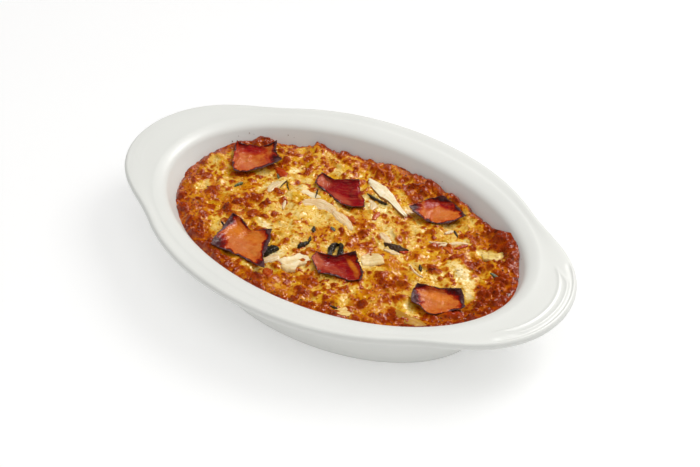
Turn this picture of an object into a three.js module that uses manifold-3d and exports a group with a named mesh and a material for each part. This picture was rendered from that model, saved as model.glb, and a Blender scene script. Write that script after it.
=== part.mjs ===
import * as THREE from "three";
import * as BufferGeometryUtils from "three/addons/utils/BufferGeometryUtils.js";
import Module from "manifold-3d";

// Oval ceramic baking dish with two ear handles, filled with cheese-topped baked pasta.
// Millimetres, +Z up. The origin is the centre of the base, on the plane the dish stands on.
// +X runs along the dish towards one ear and +Y across it.

const wasm = await Module();
wasm.setup();

// ---------- Dish sizes ----------

const dish = {
  height: 46,
  footRecess: 1.2,        // the underside inside the foot ring is this much higher
  footWidth: 5,
  footEdge: 1.2,          // bevel between the foot ring and the wall
  rimEdge: 2.2,           // radius of the rounded rim
  rimUnderside: 41.6,
  wallTop: 40,            // where the wall meets the flange
  wallCurve: 0.9,         // 1 is a straight flare, less bulges outwards
  floor: 6.5,             // top of the dish's own bottom
  ledgeDip: 0.9,          // how far the ledge falls from the rim to the cavity mouth
};
const baseOval = { a: 88.6, b: 56.4 };       // half length and half width of the foot
const wallTopOval = { a: 114.6, b: 77.2 };   // outside of the wall at wallTop
const mouthOval = { a: 113, b: 77.6 };       // where the ledge turns down into the cavity
const wallThickness = { a: 5.6, b: 7.6 };    // measured level, at the ends and at the sides
const rimOval = { a: 118.7, b: 89, power: 2.03 };
const ear = { centre: 95.9, a: 44.1, b: 48.8, blend: 19.1 };

// Relief pressed into each ear: [distance in from the ear's edge, height above the ledge].
const earRelief = [[0, 0], [2.4, 0], [3.4, -1.2], [5.3, -1.2], [6.5, 0], [8.9, 0], [10.4, -0.2], [14, 0]];
const earReliefSpread = { full: 0.75, none: 1.15 };   // radians around the ear's own centre

const ledgeStops = [0.2, 0.33, 0.42, 0.56, 0.66];      // shares of the patterned ledge width
const patternedLedge = 16;
const plainLedgeStops = [0.8, 0.93];                   // shares of the whole ledge width
const aroundCount = 64;                                // sides of every ring of the dish and bake

// ---------- Bake sizes ----------

const gap = 0.3;                 // clearance between neighbouring solids
const bake = {
  level: 33.4,                   // height of the cheese in the middle
  bandRise: 1.2,                 // the toasted edge stands this much higher
  bandStart: 0.84,
  bandFull: 0.95,
  wallGap: 0.42,
  topStops: [0.965, 0.91, 0.84, 0.75, 0.64, 0.5, 0.34, 0.17],
};
// Crusty nubs that climb the wall: [x, y, height, radius].
const crustNubs = [
  [-84, 38, 5, 7], [-55, 52, 3.4, 5], [-7, 63, 2.4, 8], [16, 63, 2.4, 8], [37, 59, 3, 6],
  [46, 56, 2.6, 5], [78, 48, 4, 6], [86, 40, 2.6, 6], [-98, 12, 1.6, 8], [98, 22, 1.6, 9],
];

// ---------- Toppings ----------

// Ham squares. Corners go round as [x, y, lift above the cheese]; bow pushes each edge outwards.
const hamThickness = 1.6;
const hamSquares = [
  {
    corners: [[-92, 23.4, 5.2], [-73, 37.4, 5.2], [-62.3, 27.2, 4], [-80.4, 6.4, 1.5]],
    bow: [0.5, 0.5, 2, 0.5],
  },
  {
    corners: [[-36, 30.6, 3.6], [-13.7, 36.5, 4.6], [1.9, 21.3, 2.4], [-31.2, 18.7, 3.6]],
    bow: [-0.5, -1, 1.5, -1],
  },
  {
    corners: [[22.4, 33.1, 4], [31.1, 52.3, 4], [52, 46.1, 3.6], [40.2, 34, 0.6]],
    bow: [1, 2.5, 1, 1.5],
  },
  {
    corners: [[-51.5, -30, 5.6], [-26.7, -26.8, 4.8], [-12.6, -52.5, 3.4], [-45.4, -54.5, 3.4]],
    bow: [-0.5, -0.5, 1.2, -0.5],
  },
  {
    corners: [[1.9, -29.1, 4.4], [22.5, -16.1, 5.4], [35.1, -27.4, 2.4], [14.4, -40.7, 4]],
    bow: [-0.5, 0.5, 2, 0],
  },
  {
    corners: [[62.8, -19, 5.6], [85.5, -6.9, 4.8], [93.6, -17.2, 3.8], [69.5, -30.4, 4.6]],
    bow: [0.5, -0.5, 4, -0.5],
  },
];

// Flat bits: x, y, length, width, heading in degrees, and bend, the bow of its centre line.
const mushroomSlices = [
  { x: 1.5, y: 42.4, length: 39, width: 6.4, heading: -21, bend: 1.2 },
  { x: 28.5, y: -9.8, length: 11, width: 9, heading: 20, bend: 0 },
  { x: -5, y: -38.8, length: 14, width: 8, heading: -10, bend: 0.8 },
  { x: 40, y: -53, length: 11.5, width: 9, heading: 40, bend: 0 },
  { x: -36.6, y: 12.6, length: 12, width: 5.5, heading: -18, bend: 0 },
];
const onionStrips = [
  { x: -22.5, y: 9.6, length: 15, width: 4.6, heading: 6, bend: 2.2 },
  { x: -5, y: 9.5, length: 15, width: 4, heading: -28, bend: 0.8 },
  { x: -15.4, y: -40.6, length: 8.5, width: 4, heading: -65, bend: 0.4 },
  { x: 55, y: 27.6, length: 14, width: 3.4, heading: 32, bend: 0.6 },
  { x: 22, y: 10, length: 10, width: 4, heading: -38, bend: 0.5 },
  { x: -55, y: 8, length: 11, width: 4.6, heading: -65, bend: 0.5 },
];
const pastaPieces = [
  { x: 79.5, y: 30.5, length: 13, width: 6.4, heading: 10, bend: 0.6 },
  { x: 72, y: -35.4, length: 20, width: 6, heading: -6, bend: 1.2 },
];
const darkLeaves = [
  { x: 32, y: 7.2, length: 14.5, width: 4.4, heading: 17, bend: 0.6 },
  { x: 4, y: -14.6, length: 11.5, width: 2.8, heading: -72, bend: 0.8 },
  { x: 9.4, y: -11.6, length: 9, width: 2.6, heading: -58, bend: 0.5 },
  { x: -10.4, y: -20.8, length: 7.6, width: 4, heading: -62, bend: 0.5 },
  { x: -20.4, y: -33.6, length: 8, width: 3.6, heading: -75, bend: 0.8 },
  { x: -1, y: 35.8, length: 12.5, width: 2.4, heading: -3, bend: 0.4 },
];
const tomatoBits = [
  { x: -58.2, y: 22, length: 9, width: 5.6, heading: -30, bend: 0 },
  { x: 6.4, y: 24.8, length: 10.5, width: 4.8, heading: -58, bend: 0 },
  { x: -9.6, y: -49, length: 8, width: 6.4, heading: -70, bend: 0 },
];
const flatBit = { sink: 1.1, rise: 1.1, sides: 10, topShare: 0.7, footShare: 0.8 };
const hamRing = { perEdge: 4, inner: 0.5, liftPower: 3, sink: 0.5 };
const pocketHeight = 14;         // each topping's seat in the cheese is open this far upwards
const pocketGrow = 0.36;         // and this much wider all round

// ---------- Curves and heights ----------

const lerp = THREE.MathUtils.lerp;
const smoothstep = THREE.MathUtils.smoothstep;

function ellipseRadius(angle, oval) {
  return 1 / Math.hypot(Math.cos(angle) / oval.a, Math.sin(angle) / oval.b);
}

// Signed distance to a superellipse, near enough close to its outline.
function ovalDistance(x, y, a, b, power) {
  const q = (Math.abs(x / a) ** power + Math.abs(y / b) ** power) ** (1 / power);
  return (q - 1) * Math.hypot(x, y) / q;
}

function smoothUnion(first, second, blend) {
  const share = THREE.MathUtils.clamp(0.5 + 0.5 * (second - first) / blend, 0, 1);
  return lerp(second, first, share) - blend * share * (1 - share);
}

// The rim in plan: an oval joined smoothly to one ear at each end.
function rimDistance(x, y) {
  const oval = ovalDistance(x, y, rimOval.a, rimOval.b, rimOval.power);
  const lobe = ovalDistance(Math.abs(x) - ear.centre, y, ear.a, ear.b, 2);
  return smoothUnion(oval, lobe, ear.blend);
}

function rimRadius(angle) {
  let near = 60;
  let far = 160;
  for (let step = 0; step < 40; step += 1) {
    const middle = (near + far) / 2;
    if (rimDistance(middle * Math.cos(angle), middle * Math.sin(angle)) < 0) near = middle;
    else far = middle;
  }
  return (near + far) / 2;
}

function wallOval(z) {
  const share = (z / dish.wallTop) ** dish.wallCurve;
  return {
    a: lerp(baseOval.a, wallTopOval.a, share),
    b: lerp(baseOval.b, wallTopOval.b, share),
  };
}

function outerWall(angle, z) {
  return ellipseRadius(angle, wallOval(z));
}

function innerWall(angle, z) {
  const oval = wallOval(z);
  return ellipseRadius(angle, { a: oval.a - wallThickness.a, b: oval.b - wallThickness.b });
}

function interpolate(table, at) {
  let index = 1;
  while (index < table.length - 1 && table[index][0] < at) index += 1;
  const [x0, y0] = table[index - 1];
  const [x1, y1] = table[index];
  return lerp(y0, y1, THREE.MathUtils.clamp((at - x0) / (x1 - x0), 0, 1));
}

function reliefHeight(x, y) {
  const depth = -ovalDistance(Math.abs(x) - ear.centre, y, ear.a, ear.b, 2);
  const turn = Math.abs(Math.atan2(y, Math.abs(x) - ear.centre));
  const weight = 1 - smoothstep(turn, earReliefSpread.full, earReliefSpread.none);
  return weight * interpolate(earRelief, depth);
}

function ledgeHeight(radius, angle, rim, mouth) {
  const share = smoothstep(rim - radius, dish.rimEdge, rim - mouth);
  const relief = reliefHeight(radius * Math.cos(angle), radius * Math.sin(angle));
  return dish.height - dish.ledgeDip * share + relief;
}

function lumps(x, y) {
  return 0.7 * Math.sin(0.23 * x + 1.3) * Math.cos(0.27 * y + 0.4)
    + 0.5 * Math.sin(0.11 * x - 0.19 * y + 2.1)
    + 0.4 * Math.sin(0.31 * x + 0.13 * y + 4);
}

function crustHeight(x, y) {
  const oval = wallOval(bake.level);
  const q = Math.hypot(x / (oval.a - wallThickness.a), y / (oval.b - wallThickness.b));
  const band = bake.bandRise * smoothstep(q, bake.bandStart, bake.bandFull);
  let nubs = 0;
  for (const [nubX, nubY, height, radius] of crustNubs) {
    const away = Math.hypot(x - nubX, y - nubY) / radius;
    nubs = Math.max(nubs, height * Math.exp(-away * away));
  }
  return bake.level + band + nubs + lumps(x, y);
}

// ---------- Solids ----------

// Rings of equal length, from the underside round to the top, close into one solid at two poles.
function closeRings(rings, bottomPole, topPole) {
  const count = rings[0].length;
  const positions = [...rings.flat(2), ...bottomPole, ...topPole];
  const bottom = rings.length * count;
  const top = bottom + 1;
  const index = [];
  for (let i = 0; i < count; i += 1) {
    const next = (i + 1) % count;
    index.push(bottom, next, i);
    for (let ring = 0; ring < rings.length - 1; ring += 1) {
      const here = ring * count;
      const above = here + count;
      index.push(here + i, here + next, above + next, here + i, above + next, above + i);
    }
    const last = (rings.length - 1) * count;
    index.push(top, last + i, last + next);
  }
  const geometry = new THREE.BufferGeometry();
  geometry.setAttribute("position", new THREE.Float32BufferAttribute(positions, 3));
  geometry.setIndex(index);
  geometry.computeVertexNormals();
  return geometry;
}

// Angles that space the points of an oval evenly.
function ringAngles(count) {
  return Array.from({ length: count }, (_, i) => {
    const turn = 2 * Math.PI * i / count;
    return Math.atan2(rimOval.b * Math.sin(turn), rimOval.a * Math.cos(turn));
  });
}

// A solid whose section changes with the angle: section(angle) lists [radius, z].
function turnSection(section, bottomZ, topZ) {
  const angles = ringAngles(aroundCount);
  const sections = angles.map(section);
  const rings = sections[0].map((_, level) => sections.map((points, i) => {
    const [radius, z] = points[level];
    return [radius * Math.cos(angles[i]), radius * Math.sin(angles[i]), z];
  }));
  return closeRings(rings, [0, 0, bottomZ], [0, 0, topZ]);
}

function dishSection(angle) {
  const foot = ellipseRadius(angle, baseOval);
  const rim = rimRadius(angle);
  const mouth = ellipseRadius(angle, mouthOval);
  const wallTop = outerWall(angle, dish.wallTop);
  const points = [
    [foot - dish.footWidth - 2 * dish.footEdge, dish.footRecess],
    [foot - dish.footWidth - dish.footEdge, 0],
    [foot - dish.footEdge, 0],
  ];
  for (const z of [dish.footEdge, 10, 20, 30, 37]) points.push([outerWall(angle, z), z]);
  points.push([wallTop + 2, dish.wallTop + 0.7]);

  // Rounded rim, from its underside over the edge to the ledge.
  const edgeCentre = (dish.rimUnderside + dish.height) / 2;
  for (let step = 0; step <= 4; step += 1) {
    const turn = (step / 4 - 0.5) * Math.PI;
    points.push([
      rim - dish.rimEdge + dish.rimEdge * Math.cos(turn),
      edgeCentre + (dish.height - edgeCentre) * Math.sin(turn),
    ]);
  }

  // Ledge with the ear's relief.
  const width = rim - mouth;
  const stops = ledgeStops.map((share) => share * Math.min(width, patternedLedge));
  stops.push(...plainLedgeStops.map((share) => share * width), width);
  for (const inwards of stops) {
    const radius = rim - inwards;
    points.push([radius, ledgeHeight(radius, angle, rim, mouth)]);
  }

  // Lip that rolls from the ledge into the wall.
  const lipTop = ledgeHeight(mouth, angle, rim, mouth);
  const lipFoot = innerWall(angle, dish.wallTop);
  const lipCorner = lerp(lipFoot, mouth, 0.45);
  for (const t of [0.35, 0.7, 1]) {
    const radius = (1 - t) ** 2 * mouth + 2 * t * (1 - t) * lipCorner + t * t * lipFoot;
    const z = (1 - t * t) * lipTop + t * t * dish.wallTop;
    points.push([radius, z]);
  }
  for (const z of [33, 23, 14]) points.push([innerWall(angle, z), z]);
  points.push(...floorFillet(angle, 0));
  return points;
}

// Rounded corner between the cavity's wall and its floor, or the same corner of what fills it.
function floorFillet(angle, inset) {
  return [[10, 0.8, 3.4], [8, 3.2, 0.9], [8, 8.5, 0]].map(([z, inwards, up]) => [
    innerWall(angle, z) - inwards - inset,
    dish.floor + up + inset,
  ]);
}

function bakeSection(angle) {
  const points = floorFillet(angle, gap).reverse();
  for (const z of [14, 23]) points.push([innerWall(angle, z) - bake.wallGap, z]);
  const edge = innerWall(angle, bake.level) - bake.wallGap;
  const edgeZ = Math.min(crustHeight(edge * Math.cos(angle), edge * Math.sin(angle)), dish.wallTop - 1);
  const edgeRadius = innerWall(angle, edgeZ - 1) - bake.wallGap;
  points.push([edgeRadius, edgeZ - 1]);
  for (const share of bake.topStops) {
    const radius = share * edgeRadius;
    points.push([radius, crustHeight(radius * Math.cos(angle), radius * Math.sin(angle))]);
  }
  return points;
}

// Points round a unit square, from corner to corner, as shares along its two directions.
function squareRing(perEdge, scale) {
  const corners = [[0, 0], [1, 0], [1, 1], [0, 1]];
  return corners.flatMap(([u0, v0], side) => {
    const [u1, v1] = corners[(side + 1) % 4];
    return Array.from({ length: perEdge }, (_, i) => {
      const t = i / perEdge;
      return [0.5 + scale * (lerp(u0, u1, t) - 0.5), 0.5 + scale * (lerp(v0, v1, t) - 0.5)];
    });
  });
}

function hamCentre(ham) {
  const sum = ham.corners.reduce(([x, y], corner) => [x + corner[0], y + corner[1]], [0, 0]);
  return [sum[0] / 4, sum[1] / 4];
}

// A point of a curled ham square about its centre, grown outwards by some clearance.
function hamPoint(ham, u, v, grow) {
  const weights = [(1 - u) * (1 - v), u * (1 - v), u * v, (1 - u) * v];
  const [centreX, centreY] = hamCentre(ham);
  const bows = [
    ham.bow[0] * (1 - v) * 4 * u * (1 - u), ham.bow[1] * u * 4 * v * (1 - v),
    ham.bow[2] * v * 4 * u * (1 - u), ham.bow[3] * (1 - u) * 4 * v * (1 - v),
  ];
  let x = -centreX;
  let y = -centreY;
  let lift = 0;
  ham.corners.forEach(([cornerX, cornerY, cornerLift], i) => {
    const [nextX, nextY] = ham.corners[(i + 1) % 4];
    const run = Math.hypot(nextX - cornerX, nextY - cornerY);
    x += weights[i] * cornerX - bows[i] * (nextY - cornerY) / run;
    y += weights[i] * cornerY + bows[i] * (nextX - cornerX) / run;
    lift += cornerLift * weights[i] ** hamRing.liftPower;
  });
  const reach = Math.hypot(x, y) || 1;
  return [x * (1 + grow / reach), y * (1 + grow / reach), lift];
}

function hamSolid(ham, underside, topside, grow) {
  const ring = (scale, z) => squareRing(hamRing.perEdge, scale).map(([u, v]) => {
    const [x, y, lift] = hamPoint(ham, u, v, grow);
    return [x, y, lift + z];
  }).reverse();
  const { inner } = hamRing;
  const rings = [ring(inner, underside), ring(1, underside), ring(1, topside), ring(inner, topside)];
  const middle = hamPoint(ham, 0.5, 0.5, 0);
  return closeRings(rings, [0, 0, middle[2] + underside], [0, 0, middle[2] + topside]);
}

// One ring of a flat bit, which lies along x with its middle bowed towards +y.
function bitRing(bit, scale, grow, z) {
  return Array.from({ length: flatBit.sides }, (_, i) => {
    const turn = 2 * Math.PI * i / flatBit.sides;
    const x = (scale * bit.length / 2 + grow) * Math.cos(turn);
    const y = (scale * bit.width / 2 + grow) * Math.sin(turn);
    const along = 2 * x / bit.length;
    return [x, y + bit.bend * (0.5 - along * along), z];
  });
}

// A flat bit, widest half way up.
function bitSolid(bit, thickness) {
  const rings = [
    bitRing(bit, flatBit.footShare, 0, 0),
    bitRing(bit, 1, 0, thickness / 2),
    bitRing(bit, flatBit.topShare, 0, thickness),
  ];
  return closeRings(rings, [0, bit.bend / 2, 0], [0, bit.bend / 2, thickness]);
}

// The seat of a flat bit: a straight-sided well a little wider than the bit.
function bitPocket(bit) {
  const rings = [bitRing(bit, 1, pocketGrow, -gap), bitRing(bit, 1, pocketGrow, pocketHeight)];
  return closeRings(rings, [0, bit.bend / 2, -gap], [0, bit.bend / 2, pocketHeight]);
}

function toManifold(geometry, matrix) {
  const bare = geometry.clone().applyMatrix4(matrix);
  bare.deleteAttribute("normal");
  bare.deleteAttribute("uv");
  const merged = BufferGeometryUtils.mergeVertices(bare);
  return new wasm.Manifold(new wasm.Mesh({
    numProp: 3,
    vertProperties: new Float32Array(merged.attributes.position.array),
    triVerts: new Uint32Array(merged.index.array),
  }));
}

function toGeometry(manifold) {
  const mesh = manifold.getMesh();
  const geometry = new THREE.BufferGeometry();
  geometry.setAttribute("position", new THREE.BufferAttribute(mesh.vertProperties, 3));
  geometry.setIndex(new THREE.BufferAttribute(mesh.triVerts, 1));
  geometry.computeVertexNormals();
  return geometry;
}

// ---------- Materials ----------

const finish = (color, roughness) => new THREE.MeshStandardMaterial({ color, roughness, metalness: 0 });
const finishes = {
  porcelain: finish(0xe4e5df, 0.2),
  cheese: finish(0xd69a3a, 0.5),
  ham: finish(0xb5532e, 0.4),
  mushroom: finish(0xe9dcb4, 0.55),
  onion: finish(0xe6d8b8, 0.4),
  pasta: finish(0xe2c678, 0.5),
  leaf: finish(0x2c281a, 0.5),
  tomato: finish(0xb8431c, 0.4),
};

function addPiece(parent, name, geometry, material) {
  const mesh = new THREE.Mesh(geometry, material);
  mesh.name = name;
  parent.add(mesh);
  return mesh;
}

// ---------- Assembly ----------

const group = new THREE.Group();
const pockets = [];

addPiece(group, "dish", turnSection(dishSection, dish.footRecess, dish.floor), finishes.porcelain);

hamSquares.forEach((ham, i) => {
  const [x, y] = hamCentre(ham);
  const mesh = addPiece(group, `ham_${i + 1}`, hamSolid(ham, 0, hamThickness, 0), finishes.ham);
  mesh.position.set(x, y, crustHeight(x, y) - hamRing.sink);
  mesh.updateMatrix();
  pockets.push(toManifold(hamSolid(ham, -gap, pocketHeight, pocketGrow), mesh.matrix));
});

const flatBits = {
  mushroom: mushroomSlices,
  onion: onionStrips,
  pasta: pastaPieces,
  leaf: darkLeaves,
  tomato: tomatoBits,
};
for (const [kind, bits] of Object.entries(flatBits)) {
  bits.forEach((bit, i) => {
    const solid = bitSolid(bit, flatBit.sink + flatBit.rise);
    const mesh = addPiece(group, `${kind}_${i + 1}`, solid, finishes[kind]);
    mesh.position.set(bit.x, bit.y, crustHeight(bit.x, bit.y) - flatBit.sink);
    mesh.rotation.z = THREE.MathUtils.degToRad(bit.heading);
    mesh.updateMatrix();
    pockets.push(toManifold(bitPocket(bit), mesh.matrix));
  });
}

const wholeBake = turnSection(bakeSection, dish.floor + gap, crustHeight(0, 0));
let filling = toManifold(wholeBake, new THREE.Matrix4());
for (const pocket of pockets) filling = filling.subtract(pocket);
addPiece(group, "bake", toGeometry(filling), finishes.cheese);

export default group;
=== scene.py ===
import bpy
import bmesh
import math
import numpy as np
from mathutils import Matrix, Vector


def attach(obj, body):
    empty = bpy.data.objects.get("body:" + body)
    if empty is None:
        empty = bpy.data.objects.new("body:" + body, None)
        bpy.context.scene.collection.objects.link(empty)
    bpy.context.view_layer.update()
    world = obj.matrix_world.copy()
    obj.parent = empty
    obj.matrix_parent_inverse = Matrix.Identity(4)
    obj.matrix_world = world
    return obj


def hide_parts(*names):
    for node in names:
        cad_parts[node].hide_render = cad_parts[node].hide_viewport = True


# Baked pasta in an oval white dish with two ears. Sizes here are millimetres until a mesh is made.

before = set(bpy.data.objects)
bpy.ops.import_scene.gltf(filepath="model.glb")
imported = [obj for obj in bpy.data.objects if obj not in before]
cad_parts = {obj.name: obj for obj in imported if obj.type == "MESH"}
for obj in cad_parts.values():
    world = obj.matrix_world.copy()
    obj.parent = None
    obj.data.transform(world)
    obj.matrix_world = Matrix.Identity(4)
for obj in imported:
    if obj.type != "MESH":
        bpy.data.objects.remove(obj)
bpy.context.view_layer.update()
mm = 0.001

# the view: where the camera stands and how it looks at the dish
camera = {
    "azimuth": 36.24,
    "elevation": 39.46,
    "place": (406.6, -546.0, 592.1),
    "lens": 82.3,
    "sensor": 36.0,
}

light = {
    "room": 0.62,
    "roomColour": (1.0, 0.995, 0.985),
    # name, place, size, watts, colour and what the panel is for: "shade" lights surfaces, "glint" is only
    # mirrored by them, which keeps haze off the dark crust
    "panels": [
        ("softBox", (130, 760, 950), (260, 260), 6.0, (1.0, 0.985, 0.96), "shade"),
        ("rightTop", (500, 450, 1100), (700, 600), 3.8, (1.0, 0.995, 0.98), "shade"),
        ("frontTop", (250, -450, 1400), (900, 700), 2.6, (1.0, 1.0, 1.0), "shade"),
        ("glintBox", (130, 760, 950), (380, 380), 10.5, (1.0, 0.99, 0.97), "glint"),
    ],
}


def aimCamera():
    turn = math.radians(camera["azimuth"])
    rise = math.radians(camera["elevation"])
    back = Vector((math.sin(turn) * math.cos(rise), -math.cos(turn) * math.cos(rise), math.sin(rise)))
    data = bpy.data.cameras.new("camera")
    data.lens = camera["lens"]
    data.sensor_width = camera["sensor"]
    data.clip_start = 0.01
    seen = bpy.data.objects.new("camera", data)
    seen.location = Vector(camera["place"]) * mm
    seen.rotation_euler = back.to_track_quat("Z", "Y").to_euler()
    bpy.context.scene.collection.objects.link(seen)
    bpy.context.scene.camera = seen


noiseSpan = (0.3, 0.7)      # nearly all values of a noise node lie between these


def newFinish(name):
    finish = bpy.data.materials.new(name)
    finish.use_nodes = True
    return finish, finish.node_tree, finish.node_tree.nodes["Principled BSDF"]


def addNode(tree, kind, **settings):
    node = tree.nodes.new(kind)
    for key, value in settings.items():
        setattr(node, key, value)
    return node


def plug(tree, socket, value):
    # a socket takes another socket or a plain value
    if isinstance(value, bpy.types.NodeSocket):
        tree.links.new(value, socket)
    else:
        socket.default_value = value


def field(tree, name):
    return addNode(tree, "ShaderNodeAttribute", attribute_name=name).outputs["Fac"]


def grainWay(tree):
    return addNode(tree, "ShaderNodeAttribute", attribute_name="grainWay").outputs["Vector"]


def objectPlace(tree):
    return addNode(tree, "ShaderNodeTexCoord").outputs["Object"]


def grain(tree, place, size, detail=3.0, rough=0.55, bend=0.0):
    # noise whose lumps are `size` millimetres across
    node = addNode(tree, "ShaderNodeTexNoise")
    plug(tree, node.inputs["Vector"], place)
    node.inputs["Scale"].default_value = 1 / (size * mm)
    node.inputs["Detail"].default_value = detail
    node.inputs["Roughness"].default_value = rough
    node.inputs["Distortion"].default_value = bend
    return node.outputs["Fac"]


def math2(tree, work, first, second, clamp=False):
    node = addNode(tree, "ShaderNodeMath", operation=work, use_clamp=clamp)
    plug(tree, node.inputs[0], first)
    plug(tree, node.inputs[1], second)
    return node.outputs[0]


def span(tree, value, low, high, newLow=0.0, newHigh=1.0):
    node = addNode(tree, "ShaderNodeMapRange")
    plug(tree, node.inputs["Value"], value)
    node.inputs["From Min"].default_value = low
    node.inputs["From Max"].default_value = high
    node.inputs["To Min"].default_value = newLow
    node.inputs["To Max"].default_value = newHigh
    return node.outputs["Result"]


def fromScreen(red, green, blue):
    # a colour as the eye reads it, 0 to 255, turned into light
    return tuple(
        c / 12.92 if c <= 0.04045 else ((c + 0.055) / 1.055) ** 2.4
        for c in (red / 255, green / 255, blue / 255)
    )


def colourRamp(tree, value, stops):
    node = addNode(tree, "ShaderNodeValToRGB")
    plug(tree, node.inputs["Fac"], value)
    marks = node.color_ramp.elements
    stops = list(stops)
    while len(marks) < len(stops):
        marks.new(0.5)
    for mark, (at, colour) in zip(marks, stops):
        mark.position = at
        mark.color = (*fromScreen(*colour), 1)
    return node.outputs["Color"]


def twoTones(tree, noise, colour, fall):
    # a colour that darkens by `fall` where the noise is low
    return colourRamp(tree, noise, zip(noiseSpan, (tuple(c - fall for c in colour), colour)))


def blendColours(tree, share, first, second):
    # the node's sockets for colours are inputs 6 and 7 and output 2
    node = addNode(tree, "ShaderNodeMix", data_type="RGBA")
    plug(tree, node.inputs["Factor"], share)
    for socket, value in ((node.inputs[6], first), (node.inputs[7], second)):
        plug(tree, socket, (*fromScreen(*value), 1) if isinstance(value, tuple) else value)
    return node.outputs[2]


def paint(tree, shader, colour, gloss):
    plug(tree, shader.inputs["Base Color"], colour)
    plug(tree, shader.inputs["Roughness"], gloss)


def letLightIn(shader, share, colours, reach):
    # light that scatters under the surface and comes out up to `reach` millimetres away
    shader.inputs["Subsurface Weight"].default_value = share
    shader.inputs["Subsurface Radius"].default_value = colours
    shader.inputs["Subsurface Scale"].default_value = reach * mm


def addBump(tree, shader, height, depth, strength):
    node = addNode(tree, "ShaderNodeBump")
    node.inputs["Strength"].default_value = strength
    node.inputs["Distance"].default_value = depth * mm
    plug(tree, node.inputs["Height"], height)
    plug(tree, shader.inputs["Normal"], node.outputs["Normal"])


def hangLights():
    for name, place, size, watts, colour, use in light["panels"]:
        data = bpy.data.lights.new(name, "AREA")
        data.shape = "RECTANGLE"
        data.size = size[0] * mm
        data.size_y = size[1] * mm
        data.energy = watts
        data.color = colour
        panel = bpy.data.objects.new(name, data)
        panel.location = Vector(place) * mm
        panel.rotation_euler = Vector(place).to_track_quat("Z", "Y").to_euler()
        panel.visible_glossy = use == "glint"
        panel.visible_diffuse = use == "shade"
        bpy.context.scene.collection.objects.link(panel)
    world = bpy.data.worlds.new("room")
    world.use_nodes = True
    glow = world.node_tree.nodes["Background"]
    glow.inputs["Color"].default_value = (*light["roomColour"], 1)
    glow.inputs["Strength"].default_value = light["room"]
    world.cycles_visibility.glossy = False
    bpy.context.scene.world = world
    bpy.context.scene.view_settings.view_transform = "Standard"
    print("lights:", len(light["panels"]), "panels and the room")


def makePiece(name, corners, faces, finishes, fields=None, faceFinish=None):
    mesh = bpy.data.meshes.new(name)
    mesh.from_pydata((np.asarray(corners) * mm).tolist(), [], [list(map(int, face)) for face in faces])
    for finish in finishes:
        mesh.materials.append(finish)
    mesh.polygons.foreach_set("use_smooth", [True] * len(mesh.polygons))
    if faceFinish is not None:
        mesh.polygons.foreach_set("material_index", [int(i) for i in faceFinish])
    for key, values in (fields or {}).items():
        layer = mesh.attributes.new(key, "FLOAT", "POINT")
        layer.data.foreach_set("value", np.asarray(values, np.float32).ravel())
    mesh.update()
    piece = bpy.data.objects.new(name, mesh)
    bpy.context.scene.collection.objects.link(piece)
    return piece


def settle(piece, slot, *nodes):
    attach(piece, "root")
    if nodes:
        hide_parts(*nodes)


def gridFaces(rows, columns, start=0, flip=False):
    index = np.arange(rows * columns).reshape(rows, columns) + start
    quads = np.stack([index[:-1, :-1], index[:-1, 1:], index[1:, 1:], index[1:, :-1]], -1).reshape(-1, 4)
    return quads[:, ::-1] if flip else quads


def gridEdge(rows, columns):
    # the points round a grid, in order
    index = np.arange(rows * columns).reshape(rows, columns)
    return np.concatenate([index[0, :-1], index[:-1, -1], index[-1, :0:-1], index[:0:-1, 0]])


def slabFaces(rows, columns):
    # a top grid, an underside grid and the strip of faces round their edge
    count = rows * columns
    ring = gridEdge(rows, columns)
    after = np.roll(ring, -1)
    side = np.stack([ring, ring + count, after + count, after], -1)
    return np.concatenate([gridFaces(rows, columns), gridFaces(rows, columns, count, True), side])


def slabPiece(name, slabs, finish):
    # slabs joined into one mesh, each given by its top, its underside, its fields and how its grain runs
    corners, faces, ways, both, start = [], [], [], {}, 0
    for top, under, fields, flow in slabs:
        rows, columns, _ = top.shape
        corners += [top.reshape(-1, 3), under.reshape(-1, 3)]
        faces.append(slabFaces(rows, columns) + start)
        ways += [flow.reshape(-1, 3)] * 2
        for key, values in fields.items():
            both.setdefault(key, []).extend([values.ravel(), values.ravel()])
        start += 2 * rows * columns
    both = {key: np.concatenate(values) for key, values in both.items()}
    piece = makePiece(name, np.concatenate(corners), np.concatenate(faces), [finish], both)
    way = piece.data.attributes.new("grainWay", "FLOAT_VECTOR", "POINT")
    way.data.foreach_set("vector", np.concatenate(ways).astype(np.float32).ravel())
    return piece


def smooth(value, low, high):
    share = np.clip((value - low) / (high - low), 0, 1)
    return share * share * (3 - 2 * share)


def mixUp(first, second, share):
    return first + (second - first) * share


def softNoise(x, y, size, seed):
    # smooth lumps about `size` across, from -1 to 1
    rng = np.random.default_rng(seed)
    turn = rng.uniform(0, math.pi)
    u = (x * math.cos(turn) + y * math.sin(turn)) / size
    v = (y * math.cos(turn) - x * math.sin(turn)) / size
    count = int(320 / size) + 8            # more than the dish is long, so that nothing repeats on it
    table = rng.uniform(-1, 1, (count, count))
    column = np.floor(u).astype(int)
    row = np.floor(v).astype(int)
    s = smooth(u - column, 0, 1)
    t = smooth(v - row, 0, 1)
    left, right = column % count, (column + 1) % count
    below, above = row % count, (row + 1) % count
    low = mixUp(table[below, left], table[below, right], s)
    high = mixUp(table[above, left], table[above, right], s)
    return mixUp(low, high, t)


def roughNoise(x, y, size, seed, layers=3):
    # every layer is half as large and half as strong as the one before
    return sum(0.5 ** layer * softNoise(x, y, size * 0.5 ** layer, seed + layer) for layer in range(layers))


def curve(first, bend, last, t):
    # from `first` to `last`, drawn towards `bend` on the way
    return (1 - t) ** 2 * first + 2 * t * (1 - t) * bend + t * t * last


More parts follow.
